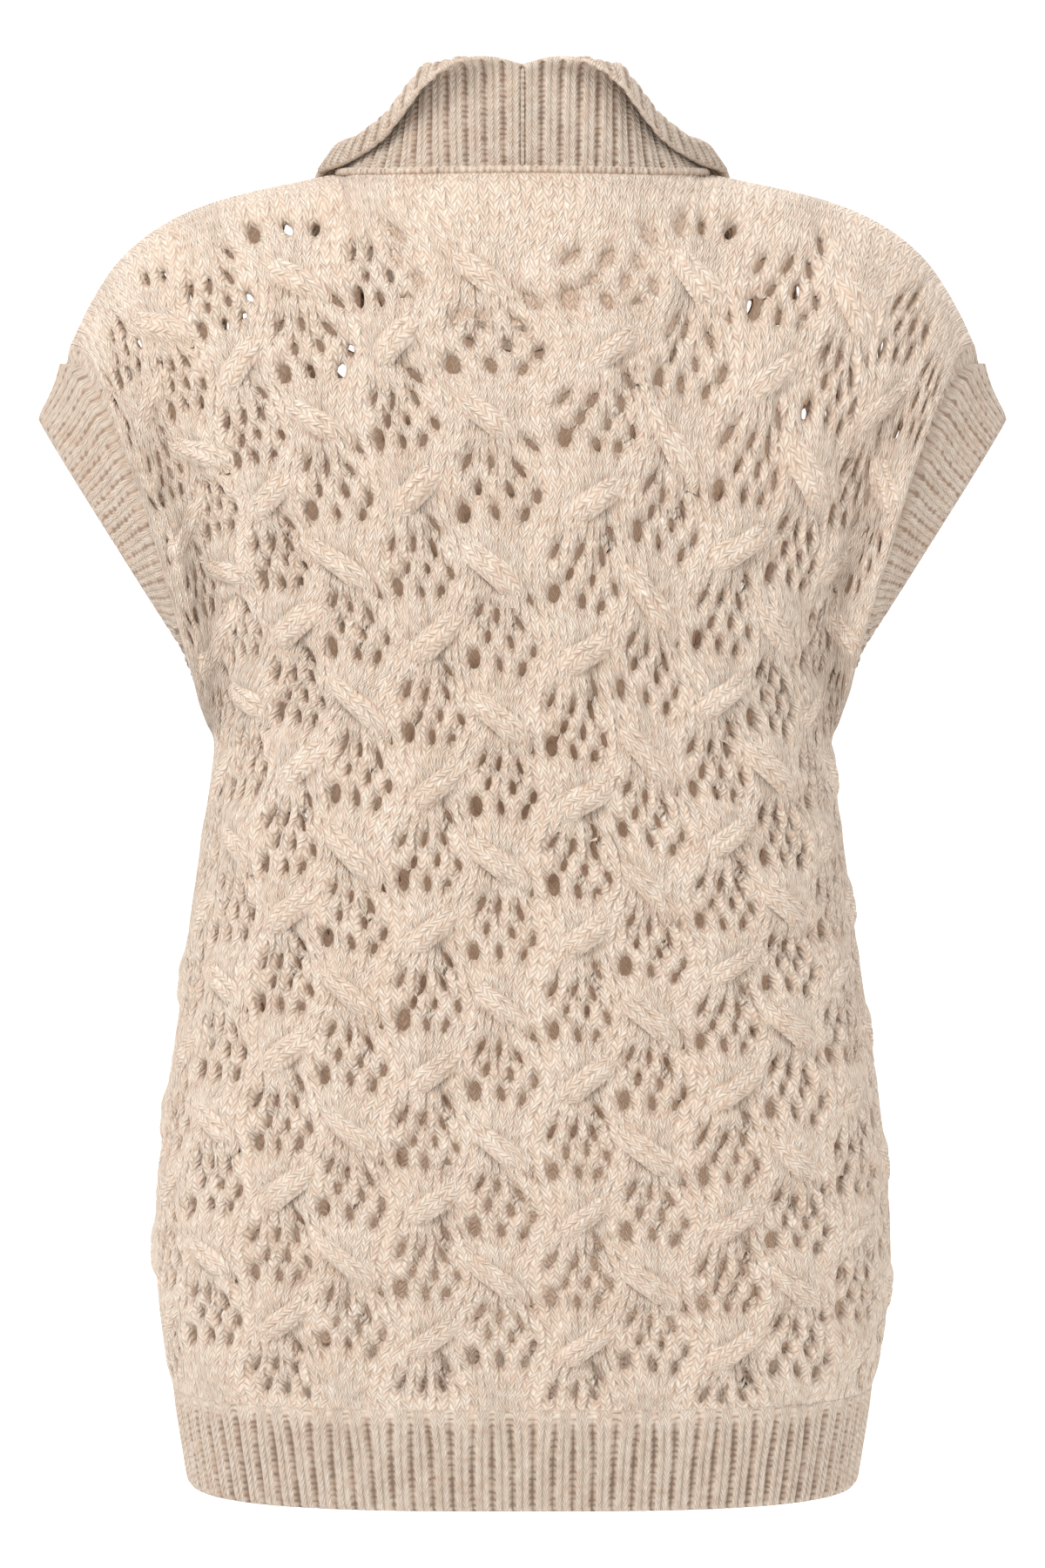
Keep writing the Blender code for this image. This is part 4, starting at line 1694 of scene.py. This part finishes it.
            # the inner face gets painted shade, darker where the outer face's hole has
            # no hole behind it
            closed = ease(2.5, 0.0, near.clear) * ~self.lets_through(x, y)
            painted_shade = self.inner_shade + self.closed_shade * closed
            height, opened = 0 * x, 0 * x
        points = (points + (height - sunk)[..., None] * walls).reshape(-1, 3)
        at = np.arange(x.size).reshape(x.shape)
        quads, stitches = faces_of(at)[~cut], stitch.reshape(-1, 2)
        painted_shade, opened = painted_shade.reshape(-1), opened.reshape(-1)
        if outer:
            p, q = self.rim_edges(cut, at).T
            tucked = np.unique([p, q])
            fresh = np.full(x.size, -1)
            fresh[tucked] = x.size + np.arange(len(tucked))
            away = walls.reshape(-1, 3)[tucked]
            points = np.concatenate([points, points[tucked] - self.skirt * away])
            # the turned-in rims get painted shade
            shade = np.full(len(tucked), self.skirt_shade)
            painted_shade = np.concatenate([painted_shade, shade])
            opened = np.concatenate([opened, opened[tucked]])
            stitches = np.concatenate([stitches, stitches[tucked] + [0.0, 0.6]])
            quads = np.concatenate([quads, np.stack([q, p, fresh[p], fresh[q]], -1)])
        if (self.face is Face.FRONT) == outer:
            quads = quads[:, ::-1]
        used = np.unique(quads)
        order = np.zeros(len(points), dtype=int)
        order[used] = np.arange(len(used))
        chart = stitches[quads]
        return Mesh(points[used], order[quads], chart, painted_shade[used], opened[used])

    @staticmethod
    def rim_edges(cut: Array, at: Array) -> Array:
        """Edges of the kept faces that border cut ones, in the kept faces' direction.

        Args:
            cut: which faces are cut out.
            at: indices of the grid's points.

        Returns:
            Pairs of indices.
        """
        kept = ~cut
        inner, level = at[:, 1:-1], at[1:-1]
        found = []
        for beside, start, end in (
            (kept[:, :-1] & cut[:, 1:], inner[1:], inner[:-1]),
            (kept[:, 1:] & cut[:, :-1], inner[:-1], inner[1:]),
            (kept[:-1] & cut[1:], level[:, :-1], level[:, 1:]),
            (kept[1:] & cut[:-1], level[:, 1:], level[:, :-1]),
        ):
            found.append(np.stack([start[beside], end[beside]], axis=-1))
        return np.concatenate(found)

    def cables(self, grid: Laid) -> Mesh:
        """All cables of the panel: three wales that cross over the others.

        A cable's middle line goes down an S-curve. Across it the height follows half
        an oval, and its ends taper and sink into the cloth.

        Args:
            grid: the cloth.

        Returns:
            One mesh of all the cables.
        """
        c = self.cable
        p = np.linspace(0, 1, c.rows)[:, None]
        q = np.linspace(-1, 1, c.columns)[None, :]
        start, end = c.bend
        share = (p - start) / (end - start)
        inside = (p > start) & (p < end)
        rate = np.where(inside, 6 * share * (1 - share) / (end - start), 0)
        turn = ease(start, end, p)
        taper = ease(0.0, c.taper[0], p) * ease(1.0, c.taper[1], p)
        half = c.end_half + c.wider * taper
        lift = ease(*c.lift[:2], p) * ease(*c.lift[2:], p)
        arch = np.sqrt(np.clip(1 - (0.98 * q) ** 2, 0, 1))
        tracks = c.track * np.cos(q * 3 * np.pi) * lift * arch
        parts = []
        for lean in Lean:
            fx, fy = self.chart.first(lean)
            x0, y0, x1, y1 = self.chart.cable(lean)
            i, j = np.meshgrid(np.arange(-5, 6), np.arange(-2, 11))
            mx, my = fx + i * self.chart.cell, fy + j * self.chart.repeat
            middle = mx + (x0 + x1) / 2, my + (y0 + y1) / 2
            on = self.there(*middle, self.cable_margin)
            i, j, mx, my = (g[on][:, None, None] for g in (i, j, mx, my))
            mx = mx + c.stray[0] * scatter(i, j, 3.0)
            my = my + c.stray[1] * scatter(i, j, 4.0)
            dx, dy = (x1 - x0) * rate, (y1 - y0) + 0 * p
            size = np.hypot(dx, dy)
            cx, cy = mx + (x0 + x1) / 2, my + (y0 + y1) / 2
            wide = between(grid.wide, *grid.locate(cx, cy))
            x = cx + ((x1 - x0) * (turn - 0.5) + q * half * dy / size) / wide
            y = cy + (y1 - y0) * (p - 0.5) - q * half * (dx / size)
            at = grid.locate(x, y)
            points, walls = between(grid.points, *at), unit(between(grid.walls, *at))
            swell = 1 + c.swell * scatter(i, j, 5.0)
            height = c.rise * lift * swell * arch * (1 - c.calm * turning(x)) - c.sunk
            height = height - c.tuck * (1 - arch) * (1 - lift) - tracks
            points = points + height[..., None] * walls
            run = np.cumsum(np.hypot(dx, dy), axis=0) / c.rows
            wales = q * 1.5 + 0.5 + np.round(mx / self.chart.wale)
            courses = run / self.chart.course - j * c.out_of_step
            chart = np.stack(np.broadcast_arrays(wales, courses, x)[:2], axis=-1)
            # painted shade along the cable's sunken sides
            painted_shade = c.shade * (1 - arch) ** 1.5 * lift + 0 * x
            parts.append(patches(points, chart, painted_shade, self.face is Face.FRONT))
        whole = join(parts)
        whole.open = np.full(len(whole.points), c.opened)
        return whole

    def build(self, knit: Material, inside: Material) -> None:
        """Makes the panel's outer face, its inner face and its cables.

        Args:
            knit: material of the outer face.
            inside: that of the inner face.
        """
        grid, lining = self.lay(*self.outer_grid), self.lay(*self.inner_grid)
        self.top_row = np.stack([grid.x[0], grid.y[0]])
        self.end_row = np.stack([grid.x[-1], grid.y[-1]])
        name = self.node + "_knit"
        outer = self.with_holes(grid, 0.0, 0.0, True).make(name, knit)
        inner = self.with_holes(lining, self.inner_wider, self.inner_sunk, False)
        inner_piece = inner.make(name + "_inside", inside)
        cables = self.cables(grid).make(name + "_cables", knit)
        for piece in (outer, inner_piece, cables):
            dress(piece, "cable_lace_knit", self.node)


# ---- ribbed pieces
@dataclass(frozen=True)
class Rib:
    """Two-and-one rib: two raised knit wales, then one sunken purl wale.

    Its profile is 0 on the raised wales, dips a little between them and is -1 at the
    middle of the purl wale.
    """

    repeat: float = 9.5
    depth: float = 3.0
    back_depth: float = 1.0
    columns: int = 8
    course: float = 3.1
    pitch: float = 2.0
    knit_way: int = -1  # 1 where it is knitted towards its start, -1 away from it
    fade: Pair = (4.0, 2.0)  # over which the ribs rise at both ends
    sway: float = 0.0  # how far the ribs lean from side to side at the top
    sway_every: float = 35.2
    sway_fade: float = 26.0
    uneven: Triple = (0.12, 0.21, 1.7)
    proud: float = 0.7
    rolled: Pair = (1.1, 3.0)  # the end edge turns in: depth, length

    def profile(self, share: Array) -> Array:
        """Height across one repeat, share from 0 to 1 with the purl wale at 0."""
        off = np.abs((share + 0.5) % 1.0 - 0.5)
        return -bell(off, 0.15) - 0.5 * bell(off - 0.5, 0.085)

    def wales(self, share: Array) -> Array:
        """Wales passed, with the purl wale narrower than the knit ones."""
        whole = np.floor(share)
        part = np.interp(share - whole, [0, 0.18, 0.5, 0.82, 1], [0, 0.5, 1.5, 2.5, 3])
        return whole * 3 + part

    def cover(
        self, form: Form, start: float, way: Array, size: Pair, flip: bool
    ) -> Mesh:
        """A closed ribbed wall over a form.

        Args:
            form: the surface.
            start: place on the form where the ribs start.
            way: places across the form at even shares of the width, start taken off.
            size: the piece's width, and its length down the ribs.
            flip: turns the faces over.

        Returns:
            The mesh.
        """
        width, length = size
        ribs = round(width / self.repeat)
        share = np.arange(ribs * self.columns + 1) / self.columns
        down = np.linspace(0, 1, max(6, round(length / self.pitch)) + 1)
        even = np.interp(share / ribs, np.linspace(0, 1, len(way)), way)
        fromtop = down[:, None] * length
        swing = self.sway * np.sin(share * 2 * np.pi * self.repeat / self.sway_every)
        swing = swing * np.sin(np.pi * np.clip(share / ribs, 0, 1))
        swing = swing[None, :] * (1 - ease(0.0, self.sway_fade, fromtop))
        across = start + even[None, :] + swing / width * (way[-1] - way[0])
        points, walls = form.read(down, across)
        top, end = self.fade
        rise = ease(-1.0, top, fromtop) * ease(-1.0, end, length - fromtop)
        much, down_it, across_it = self.uneven
        wobble = 1 + much * np.sin(fromtop * down_it + share * across_it)
        outer = self.profile(share)[None, :] * rise * wobble
        deep, over = self.rolled
        rolled = deep * (1 - ease(0.0, over, length - fromtop))
        inner = self.profile(share + 0.5)[None, :] * rise
        if np.abs(points[:, 0] - points[:, -1]).max() < 1e-3:
            for grid in (points, walls, outer):
                grid[:, -1] = grid[:, 0]
        front = self.depth * outer + self.proud * rise - rolled
        back = WALL + self.back_depth * inner - rolled
        tops = points + front[..., None] * walls
        backs = points - back[..., None] * walls
        courses = self.knit_way * fromtop / self.course
        wales = self.wales(share)
        chart = np.stack(np.broadcast_arrays(wales, courses), axis=-1)
        # painted shade in the sunken purl wales, a little between the knit ones
        return shell(tops, backs, chart, np.clip(-outer - 0.2, 0, 1), flip)


@dataclass
class RibPiece:
    """A ribbed piece of the garment, one node of the frame."""

    node: str
    body: BodyShape
    finish: Material

    def place(self, mesh: Mesh, flat: Pair, held: str = "hung") -> None:
        """Makes and dresses the piece."""
        piece = mesh.make(self.node + "_knit", self.finish)
        dress(piece, "rib_knit", self.node)


@dataclass
class Hem(RibPiece):
    """The ribbed band under one panel."""

    face: Face
    rib: Rib = Rib(knit_way=1, fade=(12.0, 2.0), sway=1.4)
    middle_z: float = -615.0
    flat_depth: float = 50.0

    def build(self) -> None:
        """Makes the hem."""
        width = 2 * self.body.half_length(self.middle_z, self.face)
        size = (width, self.body.rib_top_z - self.body.hem_z)
        form, flip = self.body.hem_form(self.face), self.face is Face.FRONT
        mesh = self.rib.cover(form, -1.0, np.linspace(0, 2, 9), size, flip)
        self.place(mesh, (width, self.flat_depth))


@dataclass
class Armband(RibPiece):
    """The ribbed band round one armhole."""

    side: Side
    shape: ArmbandShape = ArmbandShape()
    rib: Rib = Rib(repeat=7.9, depth=2.6, pitch=1.9)
    middle_ring: int = 4
    eased: float = 2.0  # flat depth over the depth as worn

    def build(self, back: Form, front: Form) -> None:
        """Makes the band on the two panels' forms.

        Args:
            back: the back panel's form.
            front: the front panel's form.
        """
        form = self.shape.form(self.side, self.body, back, front)
        once = (form.across > -TINY) & (form.across < 1 + TINY)
        width = float(run_of(form.points[self.middle_ring][once])[-1])
        step = np.linalg.norm(form.points[-1] - form.points[0], axis=1)
        length = float(step[once].mean())
        flip, way = self.side is Side.LEFT, np.linspace(0, 1, 9)
        mesh = self.rib.cover(form, 0.0, way, (width, length), flip)
        self.place(mesh, (width, length + self.eased))


@dataclass
class Collar(RibPiece):
    """One half of the ribbed roll collar."""

    side: Side
    shape: CollarShape = CollarShape()
    rib: Rib = Rib(repeat=9.0, depth=2.5, back_depth=1.4, pitch=1.7, fade=(4.0, 2.5))
    stand_row: int = 8
    back_columns: int = 17

    def build(self, back: Form, front: Form) -> None:
        """Makes the half collar on the two panels' forms.

        Args:
            back: the back panel's form.
            front: the front panel's form.
        """
        form = self.shape.form(self.side, self.body, back, front)
        run = run_of(form.points[self.stand_row])
        way = np.interp(np.linspace(0, 1, 41), run / run[-1], form.across)
        columns = (form.points[:, k] for k in range(self.back_columns))
        size = (float(run[-1]), float(max(run_of(column)[-1] for column in columns)))
        mesh = self.rib.cover(form, 0.0, way, size, self.side is Side.RIGHT)
        self.place(mesh, size, "folded")


@dataclass(frozen=True)
class Seam:
    """A sewn chain along a path: a cord whose thickness swells at each stitch."""

    radius: float = 2.2
    stitch: float = 4.4
    sides: int = 8
    step: float = 0.85
    course: float = 2.75
    thin: float = 0.72  # between two stitches, as a share of the radius
    # painted shade between the stitches
    shade: float = 0.35

    def mesh(self, path: Array, out: Array, closed: bool) -> Mesh:
        """Carries a round profile along a path.

        Args:
            path: points, shape (points, 3).
            out: directions away from the cloth.
            closed: whether the path ends where it starts.

        Returns:
            The mesh.
        """
        run = run_of(path)
        at = np.linspace(0, run[-1], round(run[-1] / self.step) + 1)
        line, away = (
            np.stack([np.interp(at, run, g[:, k]) for k in range(3)], -1)
            for g in (path, out)
        )
        tangent = unit(np.gradient(line, axis=0))
        if closed:
            tangent[0] = tangent[-1] = unit(line[1] - line[-2])
        beside = unit(np.cross(tangent, unit(away)))
        away = np.cross(beside, tangent)
        angle = np.linspace(0, 2 * np.pi, self.sides + 1)[:, None]
        stitches = max(2, round(run[-1] / self.stitch))
        beat = np.abs(np.sin(np.pi * stitches * at / run[-1]))
        ends = 1.0 if closed else ease(0, 2, at) * ease(0, 2, run[-1] - at)
        size = self.radius * (self.thin + (1 - self.thin) * beat) * ends + 0.02
        ring = np.cos(angle) * beside[:, None] + np.sin(angle) * away[:, None]
        points = (line[:, None] + ring * size[:, None, None])[:, :-1]
        count = len(at)
        if closed:
            points = points[:-1]
        rows = np.arange(count)[:, None] % len(points) * self.sides
        quads = faces_of(rows + np.arange(self.sides + 1) % self.sides).reshape(-1, 4)
        chart = np.broadcast_arrays(angle.T / np.pi, (at / self.course)[:, None])
        chart = np.stack(chart, axis=-1).reshape(-1, 2)
        marks = faces_of(np.arange(len(chart)).reshape(count, -1)).reshape(-1, 4)
        # painted shade where the cord thins between stitches
        deep = np.repeat(self.shade * (1 - beat)[: len(points)], self.sides)
        mesh = Mesh(points.reshape(-1, 3), quads, chart[marks], deep)
        if mesh.volume() < 0:
            mesh = Mesh(mesh.points, quads[:, ::-1], chart[marks[:, ::-1]], deep)
        return mesh


@dataclass
class Seams:
    """The seams that show: round the neck and down the middle of the collar."""

    body: BodyShape
    collar: CollarShape
    neck: Seam = Seam()
    ends: Seam = Seam(radius=1.0, stitch=2.6, sides=6)
    neck_proud: float = 0.5
    ends_sunk: float = 0.2

    def build(self, finish: Material, back: Form, front: Form) -> None:
        """Makes the seams on the two panels' forms.

        Args:
            finish: the seams' material.
            back: the back panel's form.
            front: the front panel's form.
        """
        points, walls = self.collar.seam(self.body, back, front)
        way = np.linspace(0, 1, len(points))
        fine = np.linspace(0, 1, 161)[None]
        both = read_rows(way, np.concatenate([points, walls], 1)[None], fine)[0]
        mirror = np.array([-1, 1, 1, -1, 1, 1])
        whole = np.concatenate([both, (both * mirror)[-2::-1]])
        out = unit(whole[:, 3:])
        neck = self.neck.mesh(whole[:, :3] + out * self.neck_proud, out, True)
        form = self.collar.form(Side.RIGHT, self.body, back, front)
        down = np.linspace(0.02, 0.985, 60)
        parts = []
        for place in (0.0, 1.0):
            path, out = (g[:, 0] for g in form.read(down, np.full((60, 1), place)))
            path = path - self.ends_sunk * out
            path[:, 0] = 0
            parts.append(self.ends.mesh(path, out, False))
        for name, mesh in (("neck_seam", neck), ("collar_seams", join(parts))):
            dress(mesh.make(name, finish), "rib_knit", "collar_left", "collar_right")


# ---- the studio
@dataclass(frozen=True)
class Light:
    """A round soft light, in metres and watts."""

    name: str
    place: Triple
    size: float
    watts: float
    colour: Triple

    def build(self, aim_at: Triple) -> None:
        """Makes the light and turns it towards a point.

        Args:
            aim_at: the point, in metres.
        """
        light = bpy.data.lights.new(self.name, "AREA")
        light.shape, light.size = "DISK", self.size
        light.energy, light.color = self.watts, self.colour
        thing = put_in(self.name, light)
        thing.location = self.place
        aim = np.array(aim_at) - np.array(self.place)
        flat = float(np.hypot(aim[0], aim[1]))
        turn = float(np.arctan2(aim[1], aim[0])) - np.pi / 2
        thing.rotation_euler = (np.pi / 2 + float(np.arctan2(aim[2], flat)), 0, turn)


@dataclass(frozen=True)
class Studio:
    """A plain pale sweep, soft lights and the camera."""

    floor_z: float = -0.98
    half_width: float = 6.0
    near: float = -5.0
    turn: float = 2.6
    radius: float = 1.4
    height: float = 4.0
    paper: Colour = (0.93, 0.93, 0.93, 1.0)
    paper_glow: float = 0.16
    room: Colour = (1.0, 0.995, 0.985, 1.0)
    camera_at: Triple = (0.0, -2.0, -0.301)
    lens: float = 93.02
    aim_at: Triple = (0.0, 0.0, -0.3)
    lights: tuple[Light, ...] = (
        Light("key", (-1.0, -1.4, 1.2), 1.2, 29.5, (1.0, 0.985, 0.965)),
        Light("fill", (1.9, -2.2, 0.4), 1.8, 6.0, (1.0, 0.99, 0.98)),
        Light("rim", (0.6, 2.2, 1.8), 1.5, 30.0, (1.0, 1.0, 1.0)),
    )

    def sweep(self) -> None:
        """Makes the floor, which turns up into a wall along a quarter circle."""
        a = np.linspace(0, np.pi / 2, 17)
        y = self.turn + self.radius * np.sin(a)
        z = self.floor_z + self.radius * (1 - np.cos(a))
        y = np.concatenate([[self.near], y, [self.turn + self.radius]])
        z = np.concatenate([[self.floor_z], z, [self.height]])
        x = np.linspace(-self.half_width, self.half_width, 9)
        grid = np.stack(np.broadcast_arrays(x, y[:, None], z[:, None]), axis=-1)
        at = np.arange(y.size * x.size).reshape(y.size, x.size)
        quads = faces_of(at).reshape(-1, 4)[:, ::-1]
        mesh = bpy.data.meshes.new("sweep")
        mesh.from_pydata(grid.reshape(-1, 3).tolist(), [], quads.tolist())
        mesh.shade_smooth()
        material, shader = new_material("pale_paper")
        settle(shader, Base_Color=self.paper, Roughness=0.9, Specular_IOR_Level=0.0)
        white = (1.0, 1.0, 1.0, 1.0)
        settle(shader, Emission_Color=white, Emission_Strength=self.paper_glow)
        mesh.materials.append(material)
        put_in("sweep", mesh)

    def build(self) -> None:
        """Makes the sweep, the lights, the even light from all round and the camera."""
        self.sweep()
        for light in self.lights:
            light.build(self.aim_at)
        world = bpy.data.worlds.new("soft_room")
        world.use_nodes = True
        settle(world.node_tree.nodes["Background"], Color=self.room, Strength=1.0)
        camera = bpy.data.cameras.new("camera")
        camera.sensor_fit, camera.sensor_width = "AUTO", 36.0
        camera.lens = self.lens
        camera.clip_start, camera.clip_end = 0.05, 60.0
        thing = put_in("camera", camera)
        thing.location, thing.rotation_euler = self.camera_at, (np.pi / 2, 0, 0)
        scene = bpy.context.scene
        scene.world, scene.camera = world, thing
        scene.view_settings.view_transform = "Standard"
        scene.view_settings.look = "None"


# ---- the whole sweater
def main() -> None:
    """Builds the sweater and its studio, and logs each piece's triangle count."""
    logging.basicConfig(level=logging.INFO, format="%(message)s")
    body, chart, collar = BodyShape(), Chart(), CollarShape()
    lace = Wool("cable_lace_wool").build()
    # the inside faces shine with painted light
    inside = Wool("cable_lace_wool_inside", painted_glow=0.11).build()
    # colour of the rib's painted shade, darker than the panels'
    dim = (0.20, 0.13, 0.09, 1.0)
    rib = Wool("rib_wool", ribbed=True, tone=0.89, bump=0.0008, shadow=dim).build()
    Studio().build()
    back = Panel(Face.BACK, body, chart, "back_panel")
    front = Panel(Face.FRONT, body, chart, "front_panel")
    back.build(lace, inside)
    front.build(lace, inside)
    Hem("back_hem_rib", body, rib, Face.BACK).build()
    Hem("front_hem_rib", body, rib, Face.FRONT).build()
    for side, word in ((Side.LEFT, "left"), (Side.RIGHT, "right")):
        Armband("armband_" + word, body, rib, side).build(back.form, front.form)
        Collar("collar_" + word, body, rib, side, collar).build(back.form, front.form)
    Seams(body, collar).build(rib, back.form, front.form)
    bpy.context.view_layer.update()


if __name__ == "__main__":
    main()
